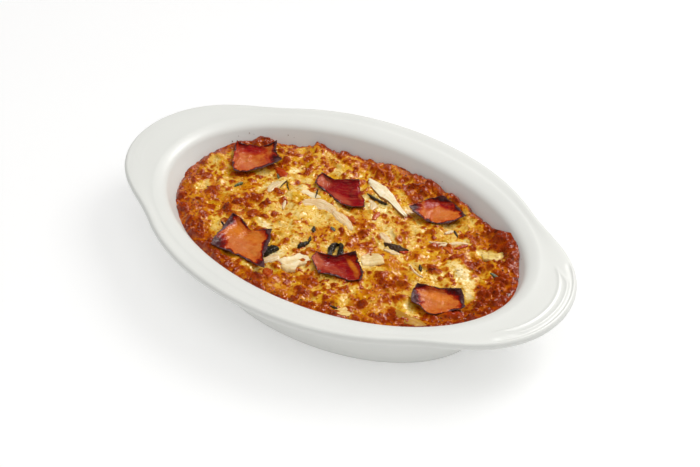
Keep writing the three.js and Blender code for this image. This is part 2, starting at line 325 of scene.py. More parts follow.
def ovalReach(x, y, spot):
    # 1 on the outline of a turned oval [x, y, half length, half width, heading], 0 at its middle
    turn = math.radians(spot[4])
    along = (x - spot[0]) * math.cos(turn) + (y - spot[1]) * math.sin(turn)
    across = (y - spot[1]) * math.cos(turn) - (x - spot[0]) * math.sin(turn)
    return np.hypot(along / spot[2], across / spot[3])


dish = {
    "height": 46, "footRecess": 1.2, "footWidth": 5, "footEdge": 1.2,
    "recessRings": (30, 8),                # how far inside the foot ring the recess has a ring of points
    "bareFoot": (0.02, 0.4),               # no glaze where a ring is below the first and the next the second
    "rimEdge": 2.2, "rimUnderside": 41.6, "wallTop": 40, "wallCurve": 0.9,
    # the round between the wall and the rim: where it starts and ends, and how far out its bend and end lie
    "filletStart": 37, "filletBend": 41.0, "filletEnd": 41.3, "bendOut": 0.8, "endOut": 6,
    # the round between the wall and the floor
    "bowlStart": 14, "bowlDrop": 7.5, "bowlInwards": 7,
    "floor": 6.5, "ledgeDip": 0.9,
    "baseOval": (88.6, 56.4), "wallTopOval": (114.6, 77.2), "mouthOval": (117.4, 80.4),
    "lipRound": 1.8, "lipDrop": 2.4, "lipBrink": 1.2,
    "wallThickness": (5.6, 7.6),
    "rimOval": (118.7, 89, 2.03),
    "ear": {"centre": 95.9, "a": 44.1, "b": 48.8, "blend": 19.1},
    # the pressed pattern of an ear: two ridges that meet like a hairpin at both ends, and a channel outside;
    # places are distances from the ear's edge
    "ridges": (5.2, 9.4), "ridgeHeight": 0.38, "ridgeWidth": 0.85, "ridgeBend": (0.56, 0.94),
    "channel": 3.0, "channelDepth": 0.5, "channelWidth": 1.3,
    "reliefFade": (0.86, 1.0),             # radians round the ear's centre: full, none
    "reliefShare": {"right": 1.0, "left": 0.06},
    "patterned": (0.7, 14),                # share of the ledge with closely set points, and the most of it
    "around": 576,
    "glaze": (217, 218, 214), "glazeRoughness": (0.34, 0.42),
    "bareClay": (214, 206, 190), "clayRoughness": (0.6, 0.8),
}


def ovalRadius(angle, a, b):
    return 1 / np.hypot(np.cos(angle) / a, np.sin(angle) / b)


def ovalDistance(x, y, a, b, power):
    q = (np.abs(x / a) ** power + np.abs(y / b) ** power) ** (1 / power)
    return (q - 1) * np.hypot(x, y) / q


def rimDistance(x, y):
    ear = dish["ear"]
    oval = ovalDistance(x, y, *dish["rimOval"])
    lobe = ovalDistance(np.abs(x) - ear["centre"], y, ear["a"], ear["b"], 2)
    share = np.clip(0.5 + 0.5 * (lobe - oval) / ear["blend"], 0, 1)
    return mixUp(lobe, oval, share) - ear["blend"] * share * (1 - share)


def rimRadius(angle):
    # halving the gap between a radius inside the rim and one outside it
    near = np.full_like(angle, 60.0)
    far = np.full_like(angle, 160.0)
    for _ in range(40):
        middle = (near + far) / 2
        inside = rimDistance(middle * np.cos(angle), middle * np.sin(angle)) < 0
        near = np.where(inside, middle, near)
        far = np.where(inside, far, middle)
    return (near + far) / 2


def wallOval(z):
    share = (z / dish["wallTop"]) ** dish["wallCurve"]
    (baseA, baseB), (topA, topB) = dish["baseOval"], dish["wallTopOval"]
    return mixUp(baseA, topA, share), mixUp(baseB, topB, share)


def outerWall(angle, z):
    return ovalRadius(angle, *wallOval(z))


def innerWall(angle, z):
    a, b = wallOval(z)
    return ovalRadius(angle, a - dish["wallThickness"][0], b - dish["wallThickness"][1])


def reliefHeight(depth, turn):
    outer, inner = dish["ridges"]
    outer = mixUp(outer, inner, smooth(turn, *dish["ridgeBend"]))
    height = 0
    for at in (outer, inner):
        height = np.maximum(height, dish["ridgeHeight"] * np.exp(-((depth - at) / dish["ridgeWidth"]) ** 2))
    channel = np.exp(-((depth - dish["channel"]) / dish["channelWidth"]) ** 2)
    return (height - dish["channelDepth"] * channel) * (1 - smooth(turn, *dish["reliefFade"]))


def ledgeHeight(radius, angle, rim, mouth):
    ear = dish["ear"]
    x = radius * np.cos(angle)
    y = radius * np.sin(angle)
    depth = -ovalDistance(np.abs(x) - ear["centre"], y, ear["a"], ear["b"], 2)
    turn = np.abs(np.arctan2(y, np.abs(x) - ear["centre"]))
    weight = np.where(x > 0, dish["reliefShare"]["right"], dish["reliefShare"]["left"])
    dip = dish["ledgeDip"] * smooth(rim - radius, dish["rimEdge"], rim - mouth)
    return dish["height"] - dip + weight * reliefHeight(depth, turn)


def evenAngles(count):
    turn = np.arange(count) * math.tau / count
    return np.arctan2(dish["rimOval"][1] * np.sin(turn), dish["rimOval"][0] * np.cos(turn))


def dishRings(angle):
    foot = ovalRadius(angle, *dish["baseOval"])
    rim = rimRadius(angle)
    mouth = ovalRadius(angle, *dish["mouthOval"])
    level = np.ones_like(angle)
    edge = dish["footEdge"]
    rings = []

    def ring(radius, z):
        rings.append((radius * level, z * level))

    for inwards in dish["recessRings"]:
        ring(foot - dish["footWidth"] - inwards, dish["footRecess"])
    for turn in np.linspace(0, math.pi / 2, 5):     # into the foot ring
        ring(foot - dish["footWidth"] - 2 * edge + edge * math.sin(turn), dish["footRecess"] * math.cos(turn))
    for turn in np.linspace(0, math.pi / 2, 6):     # out of it into the wall
        inner = foot - edge
        ring(mixUp(inner, outerWall(angle, edge), math.sin(turn)), edge * (1 - math.cos(turn)))
    for z in np.linspace(3, dish["filletStart"], 18):
        ring(outerWall(angle, z), z)
    wallEnd = outerWall(angle, dish["filletStart"])
    wallTop = outerWall(angle, dish["wallTop"])
    under = wallTop + dish["endOut"]
    for t in np.linspace(0.2, 1, 6):                # fillet below the rim
        ring(curve(wallEnd, wallTop + dish["bendOut"], under, t),
             curve(dish["filletStart"], dish["filletBend"], dish["filletEnd"], t))
    start = rim - dish["rimEdge"]
    for share in (0.25, 0.5, 0.75):
        ring(mixUp(under, start, share), mixUp(dish["filletEnd"], dish["rimUnderside"], share))
    half = (dish["height"] - dish["rimUnderside"]) / 2
    for turn in np.linspace(-math.pi / 2, math.pi / 2, 15):   # rounded rim
        ring(start + dish["rimEdge"] * math.cos(turn), dish["rimUnderside"] + half + half * math.sin(turn))
    width = rim - mouth
    patterned = np.minimum(width * dish["patterned"][0], dish["patterned"][1])
    for outer, inner, count in ((dish["rimEdge"] * level, patterned, 34), (patterned, width, 9)):
        for share in np.linspace(0, 1, count)[1:]:
            radius = rim - mixUp(outer, inner, share)
            ring(radius, ledgeHeight(radius, angle, rim, mouth))
    # the lip: a round, a gentle slope and a round down into the wall
    lipTop = rings[-1][1]
    lipFoot = innerWall(angle, dish["wallTop"])
    crest = (mouth - dish["lipRound"], lipTop)
    brink = (lipFoot + dish["lipBrink"], lipTop - dish["lipDrop"])
    middle = [mixUp(high, low, 0.5) for high, low in zip(crest, brink)]
    for first, bend, last in (((mouth, lipTop), crest, middle),
                              (middle, brink, (lipFoot, dish["wallTop"] * level))):
        for t in np.linspace(0, 1, 9)[1:]:
            ring(*[curve(*points, t) for points in zip(first, bend, last)])
    for z in (38, 36, 34, 32, 30, 26, 20, dish["bowlStart"]):
        ring(innerWall(angle, z), z)
    for turn in np.linspace(0, math.pi / 2, 7)[1:]:
        z = dish["bowlStart"] - dish["bowlDrop"] * math.sin(turn)
        ring(innerWall(angle, z) - dish["bowlInwards"] * (1 - math.cos(turn)), z)
    ring(innerWall(angle, 8) - 30, dish["floor"])
    return rings


def closedRings(rings, angle, bottomZ, topZ):
    count = len(angle)
    corners = np.concatenate([
        np.stack([radius * np.cos(angle), radius * np.sin(angle), z], -1) for radius, z in rings
    ] + [[[0, 0, bottomZ], [0, 0, topZ]]])
    index = np.arange(len(rings) * count).reshape(len(rings), count)
    nextIndex = np.roll(index, -1, axis=1)
    quads = np.stack([index[:-1], nextIndex[:-1], nextIndex[1:], index[1:]], -1).reshape(-1, 4)
    bottom = len(rings) * count
    fans = [(bottom, b, a) for a, b in zip(index[0], nextIndex[0])]
    fans += [(bottom + 1, a, b) for a, b in zip(index[-1], nextIndex[-1])]
    return corners, quads.tolist() + fans


def glazeFinish():
    finish, tree, shader = newFinish("glaze")
    place = objectPlace(tree)
    cloud = grain(tree, place, 45, 2)
    tint = twoTones(tree, cloud, dish["glaze"], 2)
    speck = span(tree, grain(tree, place, 0.9, 1), 0.76, 0.82)
    tint = blendColours(tree, math2(tree, "MULTIPLY", speck, 0.12), tint, (190, 180, 160))
    paint(tree, shader, tint, span(tree, cloud, *noiseSpan, *dish["glazeRoughness"]))
    shader.inputs["IOR"].default_value = 1.5
    addBump(tree, shader, grain(tree, place, 16, 1), 0.05, 0.2)
    return finish


def clayFinish():
    finish, tree, shader = newFinish("bareClay")
    place = objectPlace(tree)
    fine = grain(tree, place, 0.6, 4)
    tint = twoTones(tree, fine, dish["bareClay"], 14)
    paint(tree, shader, tint, span(tree, fine, *noiseSpan, *dish["clayRoughness"]))
    addBump(tree, shader, fine, 0.1, 0.6)
    return finish


def buildDish():
    angle = evenAngles(dish["around"])
    rings = dishRings(angle)
    corners, faces = closedRings(rings, angle, dish["footRecess"], dish["floor"])
    heights = np.array([ring[1].max() for ring in rings])
    flat, edge = dish["bareFoot"]
    onFoot = [i for i in range(len(rings) - 1) if heights[i] < flat and heights[i + 1] < edge]
    faceFinish = np.zeros(len(faces), int)
    for i in onFoot:
        faceFinish[i * len(angle):(i + 1) * len(angle)] = 1
    piece = makePiece("dishBody", corners, faces, [glazeFinish(), clayFinish()], None, faceFinish)
    settle(piece, "porcelain", "dish")
    print("dish:", len(piece.data.polygons), "faces")


# the crust is one height map that every topping reads
crust = {
    "level": 33.4, "bandRise": 1.2, "bandStart": 0.84, "bandFull": 0.95,
    "cell": 0.3, "halfLength": 111, "halfWidth": 72,
    "across": 392, "along": 236,           # grid of the finished mesh
    "intoWall": 0.5,
    "edgeLimits": (30.5, 40.2),            # the lowest and the highest the crust's edge may meet the wall
    # rings below the edge down to the bottom: height and distance inside the wall
    "sideRings": [(28, -0.5), (18, -0.5), (10, 1.5), (6.9, 8)],
    # crusty nubs that climb the wall: x, y, height, radius
    "nubs": [
        [-84, 38, 5, 7], [-55, 52, 3.4, 5], [-7, 63, 2.4, 8], [16, 63, 2.4, 8], [37, 59, 3, 6],
        [46, 56, 2.6, 5], [78, 48, 4, 6], [86, 40, 2.6, 6], [-98, 12, 1.6, 8], [98, 22, 1.6, 9],
    ],
    # width of the toasted edge against the direction from the middle, in degrees
    "edgeWidth": [
        [0, 19], [14, 17], [28, 9], [40, 7], [60, 9], [75, 10], [90, 8], [110, 6], [130, 5], [150, 6],
        [168, 8], [180, 11], [195, 13], [210, 15], [225, 17], [240, 11], [255, 10], [270, 10],
        [285, 10], [300, 11], [315, 13], [330, 15], [345, 17], [360, 19],
    ],
    # darker places: x, y, half length, half width, heading, strength
    "toasted": [
        [-67, -46, 12, 6, -38, 1.0], [-80, -32, 9, 7, -50, 0.6], [-76, -15, 13, 8, -20, 0.45],
        [-84, 39, 10, 8, 0, 1.0], [-99, 0, 6, 18, 8, 0.2], [-34, -61, 7, 4, 0, 0.9], [-11, -60, 8, 5, 0, 0.9],
        [15, -53, 6, 4.5, 10, 1.0], [31, -54, 5, 3, 40, 0.9], [45, -42, 4, 4, 0, 0.9],
        [23, -63, 12, 4, 8, 0.8], [63, -44, 14, 5, 32, 0.9], [50, -28, 12, 9, -30, 0.5],
        [52, -17, 7, 5, -20, 0.8], [98, 2, 9, 28, 0, 0.9], [92, -14, 6, 12, -20, 0.8],
        [84, -33, 7, 5, 45, 0.8], [13, 54, 11, 4.5, 0, 0.9], [68, 40, 10, 7, -35, 0.75],
        [62, 20, 9, 7, -30, 0.55], [78, 19, 8, 6, -35, 0.7], [44, 6, 4, 4, 0, 0.8],
        [59, 3, 5, 4, 0, 0.8], [-8, -3, 6, 5, -20, 0.6], [-48, -6, 4, 4, 0, 0.8],
        [-44, -17, 4, 3.6, 0, 0.8], [-58, -4, 4, 3.6, 0, 0.7], [-64, -15, 4.6, 3.6, -30, 0.7],
        [-62, -23, 4, 3, 0, 0.7], [-34, -12, 5, 4, -20, 0.7], [-20, -5, 5, 4, -20, 0.7],
        [-35, 6, 4, 3, 0, 0.6], [5, 13, 4, 5, 0, 0.7], [-50, 33, 4, 3.6, 0, 0.6],
        [-55, 43, 5, 3.6, -20, 0.6], [-10, 53, 6, 4, 0, 0.5], [-85, 40, 7, 6, 0, 0.9],
        [-57, 55, 8, 5, 10, 1.0], [34, 59, 14, 4, -14, 1.0], [-7, -11, 8, 6, -20, 0.7],
        [12, -5, 8, 5, -10, 0.6], [4, -3, 5, 6, 20, 0.5], [30, 19, 5, 4, 0, 0.5], [44, 17, 5, 3.6, 0, 0.4],
        [24, -3, 4, 4, 0, 0.6],
    ],
    # paler places, the same way
    "pale": [
        [-88, 8, 12, 9, 10, 0.3],
        [-24, 4, 27, 16, -30, 0.55], [38, 12, 28, 12, -18, 0.25], [62, -4, 20, 12, -20, 0.4],
        [-4, 32, 22, 8, -20, 0.45], [-30, -14, 18, 8, -35, 0.45],
        [74, 9, 13, 5.5, -28, 1.0], [86, -2, 3.4, 6, 20, 0.8], [58, 29, 8, 2.6, 30, 0.8],
        [79, 30, 9, 4, 8, 0.8], [-56, 10, 4, 10, -28, 0.8], [-54, 29, 2.6, 6, -10, 0.8],
        [-42, 25, 4, 3, -30, 0.7], [-40, -21, 7, 3, -18, 1.0], [-47, 2, 3, 12, -36, 0.5],
        [-26, -12, 5, 12, -38, 0.5], [-16, -2, 9, 4, -46, 0.6], [-17, -38, 6, 7, -60, 0.9],
        [-4, -34, 8, 4, 0, 0.8], [-68, 16, 4, 4, 0, 0.5], [-60, -36, 8, 3, -60, 0.6],
        [-43, 51, 6, 3, 10, 0.3], [-18, 46, 4, 8, -30, 0.4], [8, 46, 10, 2.4, -30, 0.5],
        [22, 14, 8, 3, -30, 0.7], [38, 2, 9, 2.4, -20, 0.6], [12, 18, 10, 3, -20, 0.5],
        [44, 38, 9, 4, 20, 0.4], [34, 28, 10, 4, -10, 0.5], [31, -15, 9, 4, 0, 0.7],
        [38, -27, 5, 3, 0, 0.5], [20, -36, 12, 4, 6, 0.35], [34, -44, 4, 8, 0, 0.4],
        [62, -32, 9, 4, 10, 0.6], [-22, -53, 7, 3, 10, 0.4], [6, -8, 3, 6, 0, 0.3],
        [4, 3, 3, 7, -10, 0.4], [55, -6, 12, 3, -6, 0.4], [-88, -14, 3, 6, -30, 0.5],
        [-30, 44, 8, 4, 0, 0.4], [52, 48, 8, 3, -40, 0.4], [-6, -20, 3, 7, -10, 0.4],
    ],
    # fresh white cheese that stayed moist, the same way
    "white": [
        [-17, -38, 4, 4.4, 0, 1.0], [-15.6, -30, 3, 2.4, -20, 0.7], [0, 27, 3.4, 4.6, -20, 0.9],
        [-6, 31.6, 3, 2, 0, 0.8], [-40.4, 16.6, 4, 3, 10, 0.9], [-36, -21, 7, 2, -18, 0.8],
        [74, 10, 8, 4.4, -30, 0.8], [27, 3, 6, 2, -10, 0.8], [8, 28, 3, 4, 30, 0.7],
        [47.5, 34.6, 3, 2, 40, 0.6], [60, 28, 8, 1.6, 35, 0.6], [84, -3, 3, 5, 20, 0.6],
        [-29.8, 8.6, 3, 2, 60, 0.5], [2, 13, 3, 2, 0, 0.4], [-53, 11, 2.4, 6, -20, 0.6],
    ],
    # fat and juice that ran from the toppings, the same way
    "stains": [
        [25, -33, 7, 1.8, 8, 1.0], [88, -21, 5, 4, 45, 0.7], [79, -29, 5, 2.5, -20, 0.6],
        [-26, 20.5, 8, 1.8, -12, 0.7], [57, 25, 3, 2.2, 0, 0.8], [61, 29, 2.5, 1.2, 40, 0.9],
        [38, 6.5, 2.2, 1.6, 0, 0.9], [-40, 22, 3, 1.5, 10, 0.6], [-3, 13, 2.5, 2, 0, 0.6],
        [-19, -46, 4, 3, 0, 0.7], [-62, 26, 4, 4, 0, 0.5], [3, 26, 2, 3, 0, 0.4],
    ],
    # how high the crust stands on the wall against the direction from the middle, in degrees
    "edgeHeight": [
        [0, 38], [8, 37], [16, 36], [20, 38.6], [25, 40], [31, 39.4], [33, 36.4], [38, 33.2], [43, 31.8],
        [50, 31.8], [53, 33.3], [57, 32.8], [60, 34.1], [63, 33.2], [68, 32.5], [73, 34], [77, 34.9],
        [84, 33.8], [91, 33], [97, 34.3], [102, 33.6], [109, 31.5], [120, 31.7], [130, 31.8], [133, 33.2],
        [135.5, 34], [138.5, 32.2], [143, 31.7], [150, 32.8], [153, 35.2], [156, 37.4], [159, 35.6],
        [163, 36], [167, 35.4], [171, 34], [180, 32.8], [190, 32.2], [225, 33], [270, 33.4], [315, 34],
        [345, 36.5], [360, 38],
    ],
    "edgeSlope": 8,                        # how far from the wall that height is felt
    # unevenness of everything: amount, size, seed and layers of noise
    "uneven": {
        "warpX": (1.2, 6, 101, 3), "fineWarpX": (0.45, 1.7, 105, 1),
        "warpY": (1.2, 6, 111, 3), "fineWarpY": (0.45, 1.7, 115, 1),
        "band": (2.4, 9, 121, 3), "brim": (0.8, 5, 125, 3), "heat": (0.22, 14, 191, 2),
        "swell": (0.5, 13, 131, 3), "bumps": (0.45, 5, 141, 3), "edge": (0.5, 4, 145, 3),
        "grit": (0.08, 1.4, 171, 2), "toast": (0.08, 8, 151, 3), "fineToast": (0.045, 2.4, 161, 3),
        "white": (0.05, 3, 167, 1), "gold": (1, 7, 185, 2), "fleck": (1, 2.2, 181, 2),
    },
    # what the heat and the browning of a place come from
    "heat": {"start": 0.50, "zone": 0.45, "pale": 0.45},
    "browning": {"blisters": 0.50, "zone": 0.20, "brim": 0.09, "raised": 0.12, "pale": 0.26},
    # percent of the crust up to each tone, from 0 for cream to 1 for nearly burnt
    "shares": (0, 5, 25, 50, 75, 95, 100), "tones": (0.10, 0.17, 0.27, 0.42, 0.56, 0.68, 0.86),
    # colours from cream through golden and orange-brown to nearly burnt, of fatty and of dry cheese
    "colourStops": (0, 0.12, 0.25, 0.38, 0.50, 0.62, 0.75, 0.88, 1),
    "fatty": [(234, 208, 130), (226, 184, 68), (212, 154, 16), (194, 116, 0), (176, 82, 2), (150, 52, 0),
              (132, 40, 2), (118, 32, 6), (96, 22, 6)],
    "dry": [(240, 222, 176), (232, 204, 134), (218, 172, 68), (200, 128, 20), (180, 88, 2), (152, 54, 0),
            (132, 42, 10), (118, 34, 12), (98, 24, 10)],
    "stainColour": (172, 46, 6), "fleckColour": (62, 20, 12),
    "gloss": (0.10, 0.24),                 # roughness from the wettest to the driest cheese
    "blisterField": (125, 90),             # half length and half width of the ground that gets blisters
    # layers of blisters: spacing, share of cells that hold one, radius against spacing, height against
    # radius, and how readily they brown
    "blisters": [
        {"spacing": 7.4, "share": 0.8, "radius": (0.32, 0.56), "height": 0.50, "browning": 0.8, "seed": 11},
        {"spacing": 4.4, "share": 0.8, "radius": (0.32, 0.60), "height": 0.68, "browning": 1.0, "seed": 23},
        {"spacing": 2.4, "share": 0.5, "radius": (0.32, 0.54), "height": 0.60, "browning": 0.9, "seed": 37},
    ],
}


def lumps(x, y):
    return (0.7 * np.sin(0.23 * x + 1.3) * np.cos(0.27 * y + 0.4)
            + 0.5 * np.sin(0.11 * x - 0.19 * y + 2.1)
            + 0.4 * np.sin(0.31 * x + 0.13 * y + 4))


def plainCrust(x, y):
    # the crust's level as the CAD solid has it
    a, b = wallOval(crust["level"])
    q = np.hypot(x / (a - dish["wallThickness"][0]), y / (b - dish["wallThickness"][1]))
    nubs = 0
    for nubX, nubY, height, radius in crust["nubs"]:
        away = np.hypot(x - nubX, y - nubY) / radius
        nubs = np.maximum(nubs, height * np.exp(-away * away))
    band = crust["bandRise"] * smooth(q, crust["bandStart"], crust["bandFull"])
    return crust["level"] + band + nubs + lumps(x, y)


def blisterLayer(x, y, layer, heat):
    # one round blister in each cell of a jittered grid: how high it stands and how brown it is;
    # more of them have browned where there was more heat
    rng = np.random.default_rng(layer["seed"])
    size = layer["spacing"]
    reachX, reachY = (int(half / size) + 3 for half in crust["blisterField"])
    shape = (2 * reachY, 2 * reachX)
    columns, rows = np.meshgrid(np.arange(shape[1]) - reachX, np.arange(shape[0]) - reachY)
    centreX = (columns + rng.uniform(0.1, 0.9, shape)) * size
    centreY = (rows + rng.uniform(0.1, 0.9, shape)) * size
    radius = size * rng.uniform(*layer["radius"], shape)
    there = rng.random(shape) < layer["share"]
    coolness = rng.random(shape)
    column = np.floor(x / size).astype(int) + reachX
    row = np.floor(y / size).astype(int) + reachY
    height = np.zeros_like(x)
    toast = np.zeros_like(x)
    for up in (-1, 0, 1):
        for over in (-1, 0, 1):
            at = (np.clip(row + up, 0, shape[0] - 1), np.clip(column + over, 0, shape[1] - 1))
            away = np.hypot(x - centreX[at], y - centreY[at]) / radius[at]
            bulge = np.clip(1 - away * away, 0, 1)
            dome = there[at] * bulge ** 0.8
            height = np.maximum(height, dome * radius[at])
            browned = smooth(heat * layer["browning"] - coolness[at], -0.05, 0.35)
            # a blister is a flat patch of brown that is darkest at its top
            cap = there[at] * (0.3 * smooth(1.06 - away, 0, 0.2) + 0.7 * bulge)
            toast = np.maximum(toast, browned * cap)
    return height * layer["height"], toast


def spotMap(x, y, spots):
    total = np.zeros_like(x)
    for spot in spots:
        total = np.maximum(total, spot[5] * (1 - smooth(ovalReach(x, y, spot), 0.45, 1.35)))
    return total


class CrustMap:
    # heights and looks of the crust on a fine square grid
    def __init__(self):
        cell = crust["cell"]
        xs = np.arange(-crust["halfLength"], crust["halfLength"] + cell, cell)
        ys = np.arange(-crust["halfWidth"], crust["halfWidth"] + cell, cell)
        self.x, self.y = np.meshgrid(xs, ys)
        self.fields = {}

    def sample(self, name, x, y):
        table = self.fields[name]
        u = np.clip((x + crust["halfLength"]) / crust["cell"], 0, table.shape[1] - 1.001)
        v = np.clip((y + crust["halfWidth"]) / crust["cell"], 0, table.shape[0] - 1.001)
        column = u.astype(int)
        row = v.astype(int)
        s = u - column
        t = v - row
        low = mixUp(table[row, column], table[row, column + 1], s)
        high = mixUp(table[row + 1, column], table[row + 1, column + 1], s)
        return mixUp(low, high, t)


def uneven(kind, x, y):
    amount, size, seed, layers = crust["uneven"][kind]
    return amount * roughNoise(x, y, size, seed, layers)


def bakeCrust(toppings):
    crustMap = CrustMap()
    x, y = crustMap.x, crustMap.y
    # everything below follows warped places, so that no blister stays round
    wx = x + uneven("warpX", x, y) + uneven("fineWarpX", x, y)
    wy = y + uneven("warpY", x, y) + uneven("fineWarpY", x, y)
    angle = np.arctan2(y, x)
    direction = np.degrees(angle) % 360
    fromWall = innerWall(angle, 34) - np.hypot(x, y)
    width = np.interp(direction, *np.array(crust["edgeWidth"]).T)
    band = 1 - smooth(fromWall + uneven("band", x, y), 0.3 * width, 1.1 * width)
    brim = 1 - smooth(fromWall + uneven("brim", x, y), 1.2, 4.5)     # dark all along the wall
    spots = [spotMap(wx, wy, crust[kind]) for kind in ("toasted", "pale", "white", "stains")]
    toasted, pale, white, stain = spots
    zone = np.clip(np.maximum(0.85 * band, toasted), 0, 1)
    shares = crust["heat"]
    heat = shares["start"] + shares["zone"] * zone - shares["pale"] * pale + uneven("heat", x, y)
    heat = np.clip(heat, 0, 1.3)

    height = plainCrust(x, y) + uneven("swell", x, y) + uneven("bumps", wx, wy)
    edge = np.interp(direction, *np.array(crust["edgeHeight"]).T) + uneven("edge", x, y)
    height = mixUp(height, edge, 1 - smooth(fromWall, 0, crust["edgeSlope"]))
    raised = smooth(height - crust["level"], 1.5, 4.5)      # what stands high has browned more
    brown = np.zeros_like(x)
    for layer in crust["blisters"]:
        rise, browned = blisterLayer(wx, wy, layer, heat)
        # blisters swell with the heat and fade out where the crust meets the wall
        height += rise * np.clip(0.1 + 1.1 * heat, 0.12, 1.25) * smooth(fromWall, -1, 3)
        brown = np.maximum(brown, browned)
    height += (0.2 + heat) * uneven("grit", x, y)
    toast = uneven("toast", wx, wy) + uneven("fineToast", wx, wy)
    shares = crust["browning"]
    toast += shares["blisters"] * brown + shares["zone"] * zone + shares["brim"] * brim
    toast += shares["raised"] * raised - shares["pale"] * pale * (1 - 0.5 * brown)
    # how much of the crust is cream, golden, orange-brown and dark
    toast = np.interp(toast, np.percentile(toast[fromWall > 0], crust["shares"]), crust["tones"])
    toast = mixUp(toast, 0.03 + uneven("white", x, y), 0.85 * white)     # fresh cheese has no tone
    gold = smooth(uneven("gold", wx, wy) + 0.12 - 0.5 * pale, -0.4, 0.7) * (1 - white)
    flecks = smooth(uneven("fleck", x, y) + 0.3 * zone, 1.1, 1.3)

    # the toppings press their seats into the cheese
    ceiling = np.full_like(x, 99.0)
    for press in toppings:
        press(ceiling)
    crustMap.fields = {
        "height": np.minimum(height, ceiling),
        "toast": np.clip(toast, 0, 1),
        "gold": gold,
        "stain": stain,
        "fleck": flecks,
        "zone": zone,
    }
    print("crust map:", x.shape[1], "by", x.shape[0], "cells")
    return crustMap


def discGrid(across, along):
    # a square grid folded evenly onto the unit disc
    a, b = np.meshgrid(np.linspace(-1, 1, across), np.linspace(-1, 1, along))
    wide = np.abs(a) >= np.abs(b)
    reach = np.where(wide, a, b)
    safe = np.where(np.abs(reach) < 1e-9, 1, reach)
    turn = np.where(wide, math.pi / 4 * b / safe, math.pi / 2 - math.pi / 4 * a / safe)
    return reach * np.cos(turn), reach * np.sin(turn)


def pimples(tree, place, size):
    # little round blisters, each with its own chance to be there
    node = addNode(tree, "ShaderNodeTexVoronoi", feature="SMOOTH_F1")
    plug(tree, node.inputs["Vector"], place)
    node.inputs["Scale"].default_value = 1 / (size * mm)
    node.inputs["Smoothness"].default_value = 0.25
    dome = span(tree, node.outputs["Distance"], 0.50, 0.18)
    there = span(tree, node.outputs["Color"], 0.44, 0.56)
    return math2(tree, "MULTIPLY", dome, there)


def cheeseFinish():
    finish, tree, shader = newFinish("meltedCheese")
    place = objectPlace(tree)
    toast = field(tree, "toast")
    fine = grain(tree, place, 1.0, 3, 0.6)
    small = math2(tree, "MAXIMUM", pimples(tree, place, 2.6), pimples(tree, place, 1.5))
    # both the grain and the pimples shift the tone
    level = math2(tree, "ADD", toast, span(tree, fine, *noiseSpan, -0.07, 0.05))
    level = math2(tree, "ADD", level, math2(tree, "MULTIPLY", small, 0.16), True)
    stops = crust["colourStops"]
    fatty, dry = (colourRamp(tree, level, zip(stops, crust[kind])) for kind in ("fatty", "dry"))
    colour = blendColours(tree, field(tree, "gold"), dry, fatty)
    mottled = span(tree, grain(tree, place, 1.6, 3), 0.35, 0.65, 0.55, 1.0)
    stain = math2(tree, "MULTIPLY", field(tree, "stain"), mottled)
    colour = blendColours(tree, stain, colour, crust["stainColour"])
    fleck = math2(tree, "MULTIPLY", field(tree, "fleck"), 0.7)
    colour = blendColours(tree, fleck, colour, crust["fleckColour"])
    paint(tree, shader, colour, span(tree, fine, *noiseSpan, *crust["gloss"]))
    shader.inputs["IOR"].default_value = 1.45
    letLightIn(shader, 0.08, (1.0, 0.45, 0.15), 0.9)
    rough = math2(tree, "ADD", grain(tree, place, 1.0, 2, 0.5), math2(tree, "MULTIPLY", small, 1.3))
    addBump(tree, shader, rough, 0.26, 0.7)
    return finish


def buildBake(crustMap):
    u, v = discGrid(crust["across"], crust["along"])
    a, b = wallOval(crust["level"])
    a -= dish["wallThickness"][0]
    b -= dish["wallThickness"][1]
    x, y = a * u, b * v
    angle = np.arctan2(y, x)
    share = np.hypot(u, v)
    # the outline follows the wall at the height that the crust has there
    edgeZ = np.full_like(x, crust["level"])
    for _ in range(3):
        edge = innerWall(angle, edgeZ) + crust["intoWall"]
        edgeZ = crustMap.sample("height", edge * np.cos(angle), edge * np.sin(angle))
        edgeZ = np.clip(edgeZ, *crust["edgeLimits"])
    edge = innerWall(angle, edgeZ) + crust["intoWall"]
    stretch = 1 + (edge / innerWall(angle, crust["level"]) - 1) * share ** 8
    x, y = x * stretch, y * stretch
    z = crustMap.sample("height", x, y)
    z = np.where(share > 0.9999, edgeZ, np.minimum(z, dish["wallTop"]))
    rows, columns = x.shape
    ring = gridEdge(rows, columns)
    corners = [np.stack([x, y, z], -1).reshape(-1, 3)]
    faces = gridFaces(rows, columns).tolist()
    ringAngle = np.arctan2(y.ravel()[ring], x.ravel()[ring])
    upper = ring
    start = rows * columns
    for depth, inwards in crust["sideRings"]:
        radius = innerWall(ringAngle, depth) - inwards
        low = np.full_like(radius, depth)
        corners.append(np.stack([radius * np.cos(ringAngle), radius * np.sin(ringAngle), low], -1))
        lower = np.arange(len(ring)) + start
        faces += np.stack([upper, lower, np.roll(lower, -1), np.roll(upper, -1)], -1).tolist()
        upper = lower
        start += len(ring)
    corners.append(np.array([[0, 0, depth]]))
    faces += [(start, second, first) for first, second in zip(upper, np.roll(upper, -1))]
    corners = np.concatenate(corners)
    x, y, _ = corners.T
    fields = {key: crustMap.sample(key, x, y) for key in ("toast", "gold", "stain", "fleck")}
    piece = makePiece("bakedCheese", corners, faces, [cheeseFinish()], fields)
    settle(piece, "cheese", "bake")
    print("bake:", len(piece.data.polygons), "faces")


